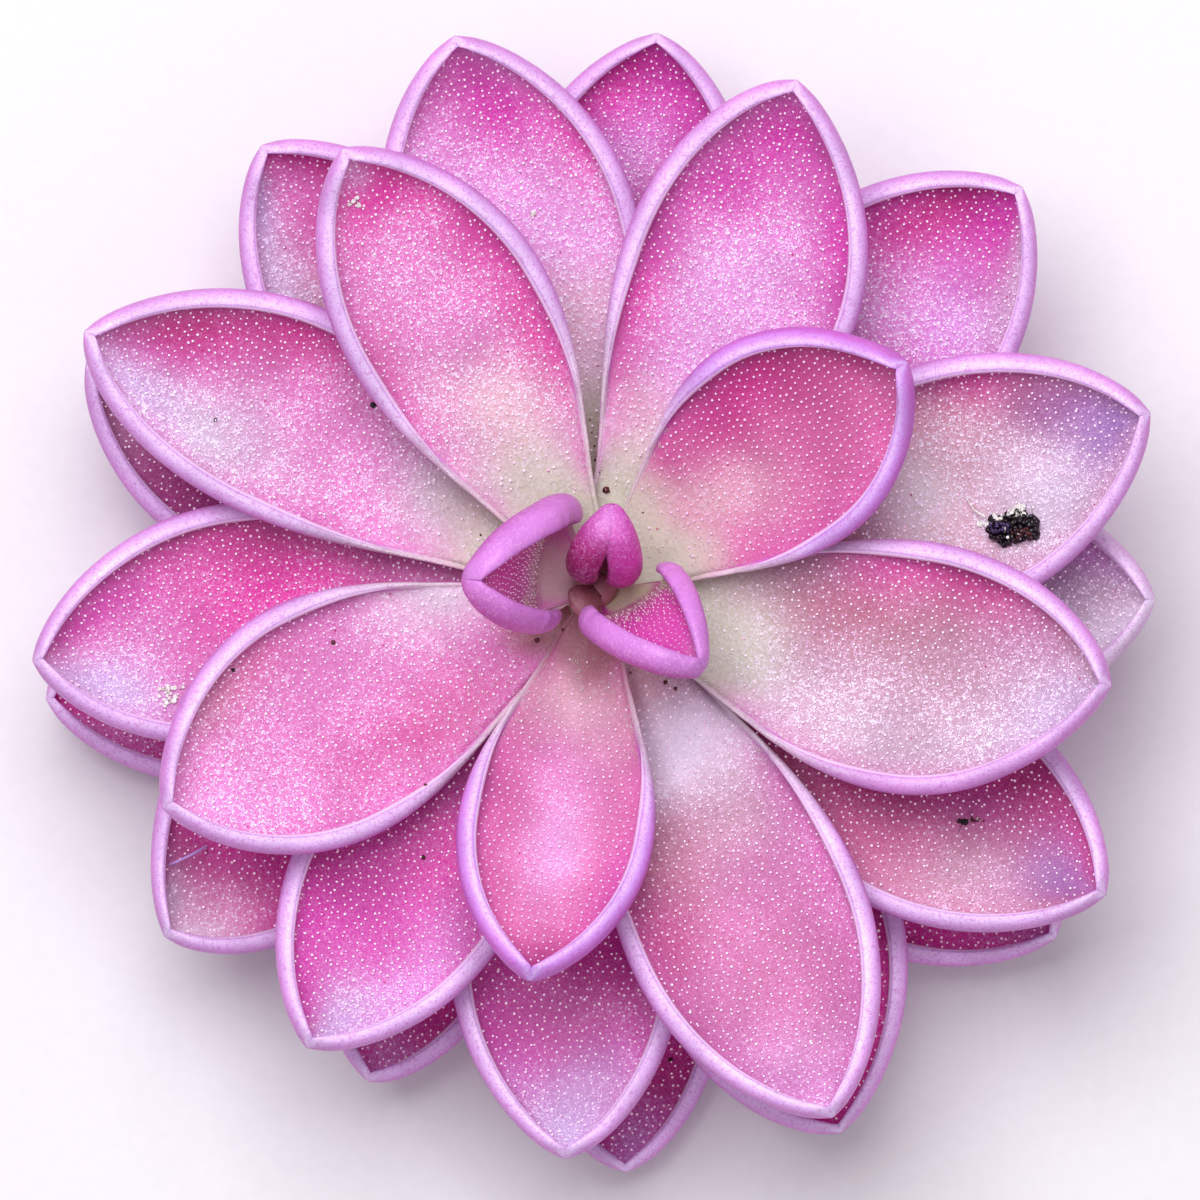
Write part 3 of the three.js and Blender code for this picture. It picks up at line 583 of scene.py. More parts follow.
def leaf_material(name, velvet, margin_mark):
    """Succulent leaf skin: waxy cells over watery flesh, which the eye sees as a soft glow under a fine velvet.

    Sessile glands 0.1 mm across draw pale winding marks on the blade, as strong as velvet says. The rolled margin
    shows the smoother underside, finely mottled, and ends in a thin pale edge, partly translucent and partly painted
    highlight.
    """
    material, tree, shader = new_material(name)
    here = add(tree, "TexCoord", output="Object")
    flesh = add(tree, "Attribute", output="Color", attribute_name="flesh")
    marked = flesh.node.outputs["Alpha"]
    rim = add(tree, "Attribute", output="Fac", attribute_name="rim")
    fold = add(tree, "Attribute", output="Fac", attribute_name="fold")

    # Curls round the sessile glands: level lines of noise, broken into short pieces. Its lumps are 0.18 mm apart,
    # nearly twice the real spacing, so that the curls show.
    fine = add(tree, "TexNoise", {"Vector": here, "Scale": 1 / (0.16 * MM), "Detail": 1, "Distortion": 0.4})
    curls = add(tree, "TexNoise", {"Vector": here, "Scale": 1 / (0.18 * MM), "Detail": 0, "Distortion": 1.2})
    off_line = add(tree, "Math", (add(tree, "Math", (curls, 0.5), operation="SUBTRACT"),), operation="ABSOLUTE")
    broken = add(tree, "MapRange", (fine, 0.36, 0.48, 0.2, 1), **SMOOTH)
    line = add(tree, "MapRange", (off_line, 0.085, 0.02, 0, broken), **SMOOTH)

    # On deep colours the marks are fainter and pinker, because less light comes back out of the flesh.
    depth = add(tree, "MapRange", (add(tree, "RGBToBW", (flesh,)), 0.1, 0.42, 0, 1), **SMOOTH)
    strength = add(tree, "MapRange", (depth, 0, 1, 0.28 * velvet, 0.88 * velvet), **SMOOTH)
    for share in (marked, line):
        strength = add(tree, "Math", (strength, share), operation="MULTIPLY")
    marks = add(tree, "Mix", {SHARE: depth, UNDER: "#EAA0DC", OVER: "#F6EEFF"}, MIXED, **COLOURS)
    base = overlay(tree, flesh, marks, rim, 0.8, 0.2, strength)

    # Red pits about 1.1 mm apart, mostly on the blade, and the mottling of the margin.
    pit = add(tree, "TexVoronoi", {"Vector": here, "Scale": 1 / (1.1 * MM)}, feature="F1")
    base = overlay(tree, base, "#B01E62", pit, 0.06, 0.035,
                   add(tree, "MapRange", (rim, 0.1, 0.4, 0.75, 0.225), **SMOOTH))
    mottled = add(tree, "Math", (rim, line), operation="MULTIPLY")
    mottled = add(tree, "Math", (mottled, 0.45), operation="MULTIPLY")
    base = add(tree, "Mix", {SHARE: mottled, UNDER: base, OVER: margin_mark}, MIXED, **COLOURS)

    # The edge: a darker line, then a pale band 0.14 mm wide, partly translucent edge and partly painted highlight.
    off_dark_line = add(tree, "Math", (add(tree, "Math", (fold, 1.89), operation="SUBTRACT"),), operation="ABSOLUTE")
    base = overlay(tree, base, "#A868B8", off_dark_line, 0.03, 0.01, 0.35)
    base = overlay(tree, base, "#F4D0EC", fold, 1.905, 1.925, 0.7)
    relief = add(tree, "MapRange", (rim, 0.2, 0.8, 0.5, 0.4), **SMOOTH)
    feed(tree, shader, {
        "Base Color": base,
        "Normal": add(tree, "Bump", {"Height": fine, "Strength": relief, "Distance": 0.04 * MM}),
        "Roughness": add(tree, "MapRange", (fine, 0.3, 0.7, 0.34, 0.5), **SMOOTH),
        "IOR": 1.42,
    })
    return material


def droplet_material():
    """Mucilage droplets on short stalks: clear slime drawn as glossy white beads, whose white is partly painted
    highlight, with a faint painted glow.
    """
    material, tree, shader = new_material("mucilage_droplets")
    tone = add(tree, "Attribute", output="Fac", attribute_name="tone")
    drop = add(tree, "Attribute", output="Fac", attribute_name="share")
    bead = add(tree, "Mix", {SHARE: tone, UNDER: "#FFF0FC", OVER: "#EDB4E2"}, MIXED, **COLOURS)
    feed(tree, shader, {
        "Base Color": add(tree, "Mix", {SHARE: drop, UNDER: "#F0C0E2", OVER: bead}, MIXED, **COLOURS),
        "Roughness": add(tree, "MapRange", (tone, 0, 1, 0.08, 0.2), **SMOOTH),
        "IOR": 1.36,
        "Emission Color": "#FFE4F6",  # painted glow, standing in for light that the flesh sends up through the bead
        "Emission Strength": 0.22,
    })
    return material


def hair_material():
    """Fine cell hairs: colourless walls that scatter light, whitest at their tips."""
    material, tree, shader = new_material("leaf_hairs")
    share = add(tree, "Attribute", output="Fac", attribute_name="share")
    feed(tree, shader, {
        "Base Color": add(tree, "Mix", {SHARE: share, UNDER: "#E8DCD0", OVER: "#FFFFFF"}, MIXED, **COLOURS),
        "Roughness": 0.35,
        "Sheen Weight": 0.3,
    })
    return material


def stem_material():
    """Cut stem: pale watery pith with a ring of vessel strands, browned where it has dried, and scarred sides."""
    material, tree, shader = new_material("crown_stem_flesh")
    here = add(tree, "TexCoord", output="Object")
    flat = add(tree, "VectorMath", (here, (1, 1, 0)), operation="MULTIPLY")
    reach = add(tree, "VectorMath", (flat,), "Value", operation="LENGTH")
    height = add(tree, "SeparateXYZ", (here,), "Z")
    scars = add(tree, "TexNoise", {"Vector": here, "Scale": 1 / (1.1 * MM), "Detail": 3, "Distortion": 0.6})
    scars = add(tree, "MapRange", (scars, 0.42, 0.62, 0, 1), **SMOOTH)
    fibre = add(tree, "TexNoise", {"Vector": here, "Scale": 1 / (0.25 * MM), "Distortion": 1.2})
    side = add(tree, "Mix", {SHARE: scars, UNDER: "#C9B886", OVER: "#8E6E4C"}, MIXED, **COLOURS)
    side = overlay(tree, side, "#E3D9B4", fibre, 0.6, 0.45, 0.35)
    # Its top, inside the heart, takes a pinkish brown that is partly painted shade of the hollow.
    side = overlay(tree, side, "#A86B78", height, 7.4 * MM, 8.4 * MM)
    # The cut: strands 0.9 mm apart in a ring from 1.8 to 2.3 mm out, and a rim that has dried brown.
    cut = overlay(tree, "#D9DDB0", "#EEF0D2", fibre, 0.4, 0.6)
    strand = add(tree, "TexVoronoi", {"Vector": flat, "Scale": 1 / (0.9 * MM)}, feature="F1")
    ring = add(tree, "MapRange", (reach, 1.5 * MM, 1.8 * MM, 0, 1), **SMOOTH)
    ring = add(tree, "MapRange", (reach, 2.6 * MM, 2.3 * MM, 0, ring), **SMOOTH)
    cut = overlay(tree, cut, "#9AA05C", strand, 0.35, 0.2, ring)
    cut = overlay(tree, cut, "#A17F4E", reach, 2.6 * MM, 3.2 * MM)
    uneven = add(tree, "Math", (fibre, scars), operation="ADD")
    feed(tree, shader, {
        "Base Color": overlay(tree, side, cut, height, 0.15 * MM, 0.04 * MM),
        "Normal": add(tree, "Bump", {"Height": uneven, "Strength": 0.5, "Distance": 0.05 * MM}),
        "Roughness": add(tree, "MapRange", (fibre, 0.3, 0.7, 0.4, 0.65), **SMOOTH),
    })
    return material


def remains_material():
    """Dried gnat: near-black chitin, some of it with a purple sheen painted into its colour, red-brown bits, and
    bleached wings and scales.

    The attribute tone runs from 0, black shell, over 0.25, purple, and 0.5, red-brown, to 1, bleached.
    """
    material, tree, shader = new_material("gnat_remains")
    tone = add(tree, "Attribute", output="Fac", attribute_name="tone")
    here = add(tree, "TexCoord", output="Object")
    fine = add(tree, "TexNoise", {"Vector": here, "Scale": 1 / (0.12 * MM), "Detail": 3})
    base = overlay(tree, "#0E070A", "#26161C", fine, 0.5, 0.7)
    for dark, light, grain_limits, tone_limits in (("#201030", "#4A3466", (0.4, 0.6), (0.1, 0.2)),
                                                   ("#2C0C0E", "#64201A", (0.35, 0.65), (0.3, 0.4)),
                                                   ("#DCD2BE", "#FFFFFF", (0.35, 0.65), (0.6, 0.8))):
        base = overlay(tree, base, overlay(tree, dark, light, fine, *grain_limits), tone, *tone_limits)
    feed(tree, shader, {
        "Base Color": base,
        "Normal": add(tree, "Bump", {"Height": fine, "Strength": 0.6, "Distance": 0.02 * MM}),
        "Roughness": add(tree, "MapRange", (fine, 0.3, 0.7, 0.12, 0.45), **SMOOTH),
    })
    return material


def fibre_material():
    """Lint: a lilac twisted fibre with a soft sheen."""
    material, tree, shader = new_material("lilac_lint")
    here = add(tree, "TexCoord", output="Object")
    twist = add(tree, "TexNoise", {"Vector": here, "Scale": 1 / (0.1 * MM), "Distortion": 1})
    feed(tree, shader, {
        "Base Color": add(tree, "Mix", {SHARE: twist, UNDER: "#B98BE0", OVER: "#D8B4F4"}, MIXED, **COLOURS),
        "Roughness": add(tree, "MapRange", (twist, 0.3, 0.7, 0.4, 0.6), **SMOOTH),
        "Sheen Weight": 0.4,
    })
    return material


def board_material():
    """Coated board: pale, matt, and faintly fibrous."""
    material, tree, shader = new_material("pale_board")
    here = add(tree, "TexCoord", output="Object")
    fibre = add(tree, "TexNoise", {"Vector": here, "Scale": 1 / (0.6 * MM), "Detail": 4})
    feed(tree, shader, {
        "Base Color": add(tree, "Mix", {SHARE: fibre, UNDER: "#E4E2E1", OVER: "#EDEBEA"}, MIXED, **COLOURS),
        "Roughness": add(tree, "MapRange", (fibre, 0.3, 0.7, 0.7, 0.85), **SMOOTH),
    })
    return material


# ------------------------------------------------------------------ copies on the skin
def template_of(*parts):
    """Joins drawn parts into one template, as points, faces and a share for each point, and removes them."""
    points, faces, shares, first = [], [], [], 0
    for part, share in parts:
        found = points_of(part)
        points.append(found)
        faces.append(triangles_of(part) + first)
        shares.append(share(found) if callable(share) else np.full(len(found), share))
        first += len(found)
        bpy.data.objects.remove(part)
    return np.vstack(points), np.vstack(faces), np.concatenate(shares)


def gland_template(looks):
    """One stalked gland: a three-sided stalk, of share 0, under a bead, of share 1."""
    length, radius = looks.stalk_length, looks.bead_radius
    stalk = drawn(bpy.ops.mesh.primitive_cone_add, vertices=3, radius1=0.03 * MM, radius2=0.02 * MM, depth=length,
                  end_fill_type="NOTHING", location=(0, 0, length / 2), calc_uvs=False)
    bpy.ops.object.transform_apply(location=True)
    bead = drawn(bpy.ops.mesh.primitive_ico_sphere_add, subdivisions=1, radius=radius,
                 location=(0, 0, length + 0.6 * radius), calc_uvs=False)
    bpy.ops.object.transform_apply(location=True)
    return template_of((stalk, 0), (bead, 1))


def hair_template(length, radius, curl, sides=3, steps=5):
    """One tapering hair that curls over, drawn by stepwise extrusion. Its share runs from 0 to 1 with height."""
    hair = drawn(bpy.ops.mesh.primitive_circle_add, vertices=sides, radius=radius, fill_type="NOTHING")
    edit_all()
    for step in range(steps):
        lean = curl * (step + 0.5) / steps
        extrude(math.sin(lean) * length / steps, 0, math.cos(lean) * length / steps)
        bpy.ops.transform.resize(value=(0.8, 0.8, 0.8))
    bpy.ops.mesh.merge(type="CENTER")
    bpy.ops.object.mode_set(mode="OBJECT")
    return template_of((hair, lambda found: np.clip(found[:, 2] / length, 0, 1)))


def leg_template(seed):
    """One thin bent leg."""
    return hair_template((1.1 + 0.1 * seed) * MM, 0.022 * MM, 1.4, 4, 7)


def grain_template(seed):
    """One irregular grain, 1 across."""
    lump = drawn(bpy.ops.mesh.primitive_ico_sphere_add, subdivisions=2, radius=0.5, calc_uvs=False)
    edit_all()
    bpy.ops.transform.vertex_random(offset=0.2, seed=seed)
    bpy.ops.object.mode_set(mode="OBJECT")
    return template_of((lump, 0))


def flake_template(seed):
    """One curled flake, 1 across and thin."""
    flake = drawn(bpy.ops.mesh.primitive_circle_add, vertices=7, radius=0.5, fill_type="TRIFAN")
    edit_all()
    bpy.ops.mesh.subdivide(number_cuts=1, fractal=0.6, seed=seed)
    extrude(0, 0, 0.06)
    bpy.ops.object.mode_set(mode="OBJECT")
    curled = points_of(flake)
    curled[:, 2] += 0.9 * curled[:, 0] ** 2
    move_points(flake, curled)
    turn_outward(flake)
    return template_of((flake, 1))


def scatter(name, template, places, axes, scales, spins, tones):
    """One mesh that holds a copy of the template at each place, its axis turned to the given direction."""
    points, faces, shares = template
    count, corners = len(places), len(points)
    aside = np.where(np.abs(axes[:, 2:3]) < 0.9, np.array([[0, 0, 1.0]]), np.array([[1.0, 0, 0]]))
    side = unit(np.cross(aside, axes))
    other = np.cross(axes, side)
    c, s = np.cos(spins)[:, None], np.sin(spins)[:, None]
    side, other = side * c + other * s, other * c - side * s
    local = points[None] * scales[:, None, None]
    world = (places[:, None] + side[:, None] * local[..., 0:1] + other[:, None] * local[..., 1:2]
             + axes[:, None] * local[..., 2:3]).reshape(-1, 3)
    triangles = (faces[None] + (np.arange(count) * corners)[:, None, None]).reshape(-1, 3)
    mesh = bpy.data.meshes.new(name)
    mesh.vertices.add(len(world))
    mesh.vertices.foreach_set("co", world.astype(np.float32).ravel())
    mesh.loops.add(triangles.size)
    mesh.loops.foreach_set("vertex_index", triangles.ravel().astype(np.int32))
    mesh.polygons.add(len(triangles))
    mesh.polygons.foreach_set("loop_start", np.arange(0, triangles.size, 3, dtype=np.int32))
    mesh.update(calc_edges=True)
    mesh.validate()
    mesh.polygons.foreach_set("use_smooth", np.ones(len(mesh.polygons), bool))
    piece = bpy.data.objects.new(name, mesh)
    bpy.context.scene.collection.objects.link(piece)
    write_field(piece, "share", np.tile(shares, count))
    write_field(piece, "tone", np.repeat(tones, corners))
    return piece


def joined(name, pieces):
    activate(pieces[0])
    for piece in pieces[1:]:
        piece.select_set(True)
    bpy.ops.object.join()
    name_piece(pieces[0], name)
    return pieces[0]


def skin_tree():
    """All leaf skins as one tree for ray tests, in millimetres."""
    corners, faces, first = [], [], 0
    for piece in [o for o in bpy.data.objects if o.name.endswith("_skin")]:
        corners.append(points_of(piece) / MM)
        faces.append(triangles_of(piece) + first)
        first += len(corners[-1])
    return BVHTree.FromPolygons(np.vstack(corners).tolist(), np.vstack(faces).tolist())


def is_free(tree, place, direction, reach):
    """Whether a ray meets no skin within reach millimetres."""
    return tree.ray_cast(Vector(place), Vector(direction), reach)[0] is None


def land(tree, x, y):
    """The place and normal of the topmost skin at a place seen from above, in millimetres."""
    place, normal, _, _ = tree.ray_cast(Vector((x, y, ABOVE_ALL)), Vector((0, 0, -1)))
    if place is None:
        raise RuntimeError(f"no leaf lies under {x}, {y}")
    return np.array(place), np.array(normal if normal.z > 0 else -normal)


def land_all(tree, spots):
    places, normals = zip(*(land(tree, *spot) for spot in spots))
    return np.array(places), np.array(normals)


def strand_over(name, tree, stations):
    """A round strand that runs over the leaves through the given stations."""
    curve = bpy.data.curves.new(name, "CURVE")
    curve.dimensions, curve.bevel_depth, curve.use_fill_caps = "3D", MM, True
    curve.bevel_resolution, curve.resolution_u = 2, 8
    spline = curve.splines.new("NURBS")
    spline.points.add(len(stations) - 1)
    spline.use_endpoint_u, spline.order_u = True, 3
    for point, (spot, lift, thickness) in zip(spline.points, stations):
        place, normal = land(tree, *spot)
        point.co = (*((place + lift * normal) * MM), 1)
        point.radius = thickness
    piece = bpy.data.objects.new(name, curve)
    bpy.context.scene.collection.objects.link(piece)
    activate(piece)
    bpy.ops.object.convert(target="MESH")
    turn_outward(bpy.context.active_object)
    return bpy.context.active_object


ROW_STEP = 0.866  # the rows of a triangular grid, as a share of its spacing


def blade_places(leaf, spacing, rng, looseness):
    """Shares and folds over a blade, in a loose triangular grid with the given spacing in millimetres."""
    ends, _, _ = midrib(leaf, np.linspace(0, 1, 12))
    length = np.linalg.norm(np.diff(ends, axis=0), axis=1).sum()
    rows = int(length / (spacing * ROW_STEP))
    found = []
    for row in range(rows):
        along = (row + 0.5) / rows
        width = float(half_width(leaf, np.array([along]))[0])
        reach = max(width - 0.9 * leaf.roll, 0.1)
        count = int(2 * reach / spacing)
        offsets = (np.arange(count) - (count - 1) / 2 + (0.25 if row % 2 else -0.25)) * spacing
        alongs = np.full(count, along) + rng.uniform(-looseness, looseness, count) * spacing / length
        folds = (offsets + rng.uniform(-looseness, looseness, count) * spacing) / reach
        keep = (np.abs(folds) < 0.96) & (alongs > 0.1) & (alongs < 0.975)  # clear of margin, foot and tip
        found.append(np.stack([alongs[keep], folds[keep]], axis=1))
    return np.vstack(found)


def tilted(axes, rng, amount):
    """The given directions, each leant at random by about amount radians."""
    return unit(axes + rng.normal(0, amount, axes.shape))


# ------------------------------------------------------------------ what a user may change
def size_setting(name, description, millimetres):
    return bpy.props.FloatProperty(name=name, description=description, default=millimetres * MM, unit="LENGTH",
                                   min=0, precision=5)


def colour_setting(name, description, code):
    return bpy.props.FloatVectorProperty(name=name, description=description, default=linear(code), subtype="COLOR",
                                         min=0, max=1)


class RosetteLooks(bpy.types.PropertyGroup):
    """Sizes of what stands on the leaves, and the colours of the flesh."""

    gland_spacing: size_setting("Gland spacing", "Distance between stalked glands", 0.39)
    bead_radius: size_setting("Bead radius", "Radius of a gland's droplet", 0.056)
    stalk_length: size_setting("Stalk length", "Length of a gland's stalk", 0.035)
    hair_length: size_setting("Hair length", "Length of the hairs round the heart", 0.38)
    cream: colour_setting("Cream", "Feet of the leaves", "#CFCBB4")
    ivory: colour_setting("Ivory", "Flesh past the feet", "#CFCCC0")
    milk: colour_setting("Milk", "Feet of the heart leaves", "#EAE0DE")
    peach: colour_setting("Peach", "Warm pale flesh", "#E0B6BC")
    frost: colour_setting("Frost", "Palest lilac patches", "#E4DAE4")
    raspberry: colour_setting("Raspberry", "Deep warm pink flesh", "#BF2E7E")
    # These two browns are partly the flesh's own colour and partly painted shade of the hollow round the heart.
    clay: colour_setting("Clay", "Shaded feet round the heart", "#AF707C")
    shaded_floor: colour_setting("Bark", "Floor of the heart", "#7A3840")
    straw: colour_setting("Straw", "Greenish feet under other leaves", "#C4B898")
    pearl: colour_setting("Pearl", "Pale grey-lilac flesh", "#CDBACE")
    lavender: colour_setting("Lavender", "Pale lilac patches", "#CDB4E0")
    dusk_lavender: colour_setting("Dusk lavender", "Lilac patches near the tips of old leaves", "#A378B6")
    dusk: colour_setting("Dusk", "Greyed purple-pink flesh", "#A7508E")
    mauve: colour_setting("Mauve", "Greyed pale pink flesh", "#B9889C")
    salmon: colour_setting("Salmon", "Warm patches past the feet", "#B97084")
    blush: colour_setting("Blush", "Warm pale pink flesh", "#D9A2B0")
    rose: colour_setting("Rose", "Pink flesh of young leaves", "#D2629E")
    blossom: colour_setting("Blossom", "Bright pale pink flesh", "#EA9CDC")
    orchid: colour_setting("Orchid", "Bright pink flesh", "#E07ABE")
    cerise: colour_setting("Cerise", "Bright deep pink flesh", "#E436A2")
    magenta: colour_setting("Magenta", "Flesh near margins and tips", "#CA38A0")
    wine: colour_setting("Wine", "Deepest flesh", "#921260")
    lilac: colour_setting("Lilac", "Top of the rolled margins", "#EBC0F6")
    lilac_shade: colour_setting("Lilac shade", "Flank of the rolled margins and undersides", "#D584D2")
    violet: colour_setting("Violet", "Top of the young leaves' margins", "#D79CF0")
    violet_shade: colour_setting("Violet shade", "Flank of the young leaves' margins", "#C868C6")
    # Laid on the margins' tops, this colour is wax bloom and painted highlight together.
    bloom_and_highlight: colour_setting("Bloom", "Wax on top of the rolled margins", "#FAE0FF")
    petal: colour_setting("Petal", "Outside of the heart leaves", "#D584D8")
    petal_shade: colour_setting("Petal shade", "Lower outside of the heart leaves", "#B44CA8")


def palette_of(looks):
    return {key: np.array(getattr(looks, key)) for key, made in RosetteLooks.__annotations__.items()
            if made.keywords.get("subtype") == "COLOR"}


# ------------------------------------------------------------------ operators
class LeafGroup:
    """What the operators for one family of leaves share."""

    family = ""
    velvet = 1  # strength of the pale marks on the blade
    margin_mark = "#BE4CB4"  # colour of the fine mottling on the rolled margins

    def execute(self, context):
        material = leaf_material(self.family + "_leaf_flesh", self.velvet, self.margin_mark)
        palette = palette_of(context.scene.butterwort_looks)
        for leaf in HEART + GROWN:
            if leaf.family == self.family:
                build_leaf(leaf, material, palette)
        return {"FINISHED"}


class BUTTERWORT_OT_heart_leaves(LeafGroup, bpy.types.Operator):
    """Adds the bud and the three folded leaves of the heart"""

    bl_idname, bl_label, family, velvet = "butterwort.heart_leaves", "Heart leaves", "heart", 0.35
    margin_mark = "#EEACE6"


class BUTTERWORT_OT_inner_leaves(LeafGroup, bpy.types.Operator):
    """Adds the two short leaves round the heart"""

    bl_idname, bl_label, family, velvet = "butterwort.inner_leaves", "Inner leaves", "inner", 0.5


class BUTTERWORT_OT_middle_leaves(LeafGroup, bpy.types.Operator):
    """Adds the nine leaves that lie open"""

    bl_idname, bl_label, family = "butterwort.middle_leaves", "Middle leaves", "middle"


class BUTTERWORT_OT_outer_leaves(LeafGroup, bpy.types.Operator):
    """Adds the eight leaves that show their outer half"""

    bl_idname, bl_label, family = "butterwort.outer_leaves", "Outer leaves", "outer"


class BUTTERWORT_OT_lowest_leaves(LeafGroup, bpy.types.Operator):
    """Adds the nine oldest leaves"""

    bl_idname, bl_label, family = "butterwort.lowest_leaves", "Lowest leaves", "lowest"


class BUTTERWORT_OT_crown_stem(bpy.types.Operator):
    """Adds the short stem that carries the leaves, cut flat below and domed above"""

    bl_idname, bl_label = "butterwort.crown_stem", "Crown stem"
    side_steps, dome_steps, sides = 26, 5, 96

    def execute(self, context):
        heights = list(np.linspace(0, STEM_HEIGHT, self.side_steps + 1))
        radii = [float(stem_radius(height)) for height in heights]
        for angle in np.linspace(0, math.pi / 2, self.dome_steps + 1)[1:]:
            heights.append(STEM_HEIGHT + STEM_DOME * math.sin(angle))
            radii.append(STEM_TOP_RADIUS * max(math.cos(angle), 0.05))
        piece = drawn(bpy.ops.mesh.primitive_circle_add, vertices=self.sides, radius=radii[0] * MM, fill_type="NGON")
        edit_all()
        for step in range(1, len(radii)):
            ratio = radii[step] / radii[step - 1]
            extrude(0, 0, (heights[step] - heights[step - 1]) * MM)
            bpy.ops.transform.resize(value=(ratio, ratio, 1))
        bpy.ops.object.mode_set(mode="OBJECT")
        places = points_of(piece)
        turn = np.arctan2(places[:, 1], places[:, 0])
        uneven = 1 + 0.025 * np.sin(5 * turn + 900 * places[:, 2]) + 0.02 * np.sin(11 * turn - 1700 * places[:, 2])
        places[:, :2] *= uneven[:, None]
        move_points(piece, places)
        turn_outward(piece)
        bpy.ops.object.shade_smooth_by_angle(angle=40 * DEGREE)
        name_piece(piece, "crown_stem_cut")
        hand_over(piece, stem_material(), ["crown_stem"])
        return {"FINISHED"}


class BUTTERWORT_OT_glands(bpy.types.Operator):
    """Adds the stalked glands with their droplets to every open leaf"""

    bl_idname, bl_label = "butterwort.glands", "Stalked glands"
    lift, room, sky = 0.06, 0.4, 20  # millimetres: where a ray starts, and how far it looks outwards and upwards
    under_leaves, gone_at_foot = 0.3, 0.85  # shares of the glands kept under other leaves, and missing at the foot

    def execute(self, context):
        looks = context.scene.butterwort_looks
        template = gland_template(looks)
        material = droplet_material()
        tree = skin_tree()
        for leaf in HEART[2:] + GROWN:  # the bud and the first heart leaf are still closed
            young = leaf.family in ("heart", "inner")
            size = 0.5 if leaf.family == "heart" else 0.85
            rng = np.random.default_rng(leaf.rank)
            spacing = looks.gland_spacing / MM * (size + 1) / 2
            spots = blade_places(leaf, spacing, rng, 0.16 if young else 0.32)
            places, normals = skin_points(leaf, spots[:, 0], spots[:, 1], np.ones(len(spots)))
            keep = []
            for spot, place, normal, chance in zip(spots, places, normals, rng.random(len(spots))):
                start = place + normal * self.lift
                on_foot = 1 - ease(spot[0], leaf.foot * 0.8, leaf.foot * 1.5)
                in_sight = is_free(tree, start, (0, 0, 1), self.sky)
                limit = 1 - self.gone_at_foot * on_foot if in_sight else self.under_leaves
                keep.append(chance < limit and is_free(tree, start, normal, self.room))
            places, normals = places[keep], normals[keep]
            scales = rng.normal(1, 0.14, len(places)).clip(0.6, 1.4) * size
            axes = tilted(normals, rng, 0.08 if young else 0.3)
            spins, tones = rng.uniform(0, TURN, len(places)), rng.random(len(places))
            tones = 0.5 + 0.5 * tones if young else tones ** 3
            piece = scatter(leaf.name + "_glands", template, places * MM, axes, scales, spins, tones)
            hand_over(piece, material)
        return {"FINISHED"}


class BUTTERWORT_OT_hairs(bpy.types.Operator):
    """Adds the fine hairs on the feet of the leaves round the heart"""

    bl_idname, bl_label = "butterwort.hairs", "Hairs round the heart"
    lift, room = 0.05, 0.35  # as for the glands

    def execute(self, context):
        template = hair_template(context.scene.butterwort_looks.hair_length, 0.015 * MM, 2.2)
        material = hair_material()
        tree = skin_tree()
        for leaf in HEART[2:] + [leaf for leaf in GROWN if leaf.family in ("inner", "middle")]:
            rng = np.random.default_rng(HAIR_SEED + leaf.rank)
            count, zone = (240, (0.08, 0.36)) if leaf.grown else (120, (0.1, 0.4))
            along, fold = rng.uniform(*zone, count), rng.uniform(-1.2, 1.2, count)
            places, normals = skin_points(leaf, along, fold, np.ones(count))
            keep = [is_free(tree, place + normal * self.lift, normal, self.room)
                    for place, normal in zip(places, normals)]
            places, normals = places[keep], normals[keep]
            axes = tilted(normals, rng, 0.5)
            scales, spins = rng.uniform(0.5, 1.1, len(places)), rng.uniform(0, TURN, len(places))
            piece = scatter(leaf.name + "_hairs", template, places * MM, axes, scales, spins, rng.random(len(places)))
            hand_over(piece, material)
        return {"FINISHED"}


@dataclass
class Scraps:
    """One kind of scrap in a heap: shape, tone, number and size in mm, and where it lies, as shares of the heap."""

    shape: str
    tone: float
    number: int
    size: tuple
    east: tuple
    north: tuple
    lift: tuple = (0.1, 1)


BLACK, RED_BROWN, PURPLE, BLEACHED = 0, 0.5, 0.25, 1  # tones of the remains' material
GNAT_PLACE, GNAT_EXTENT = (16.65, 2.52), (2.1, 1.35, 0.7)  # place from above; length, width and height of the heap
GNAT = [
    Scraps("grain", BLACK, 190, (0.12, 0.28), (-0.92, 0.98), (-0.98, 0.85)),
    Scraps("grain", PURPLE, 30, (0.1, 0.22), (-0.85, 0), (-0.35, 0.3), (0.85, 1.1)),
    Scraps("grain", RED_BROWN, 26, (0.08, 0.17), (0.05, 0.8), (-0.95, -0.3), (0.7, 1.1)),
    Scraps("grain", BLEACHED, 7, (0.12, 0.24), (-0.75, -0.35), (0.5, 0.95), (0.7, 1.1)),
    Scraps("flake", BLEACHED, 16, (0.16, 0.4), (-0.05, 0.5), (0.5, 1.1), (0.6, 1.1)),
    Scraps("flake", BLEACHED, 12, (0.12, 0.3), (-1.4, -0.95), (-0.1, 0.4), (0.2, 0.7)),
    Scraps("flake", BLEACHED, 6, (0.06, 0.14), (-0.4, 0.8), (-0.8, 0.3), (1, 1.15)),
    Scraps("leg", BLACK, 18, (0.5, 0.9), (-0.7, 1), (-0.9, 0.8), (0.3, 0.9)),
]
SCRAP_PLACE, SCRAP_EXTENT = (14.9, -9.25), (1.2, 0.22, 0.16)
SCRAP = [
    Scraps("grain", BLACK, 9, (0.1, 0.2), (-0.9, -0.2), (-0.8, 0.8)),
    Scraps("grain", RED_BROWN, 8, (0.08, 0.16), (0.1, 1), (-0.8, 0.8)),
    Scraps("flake", BLEACHED, 3, (0.1, 0.18), (-0.6, 0.6), (0.2, 1)),
    Scraps("leg", BLACK, 6, (0.4, 0.8), (-0.9, 0.9), (-0.5, 0.5), (0.2, 0.6)),
]
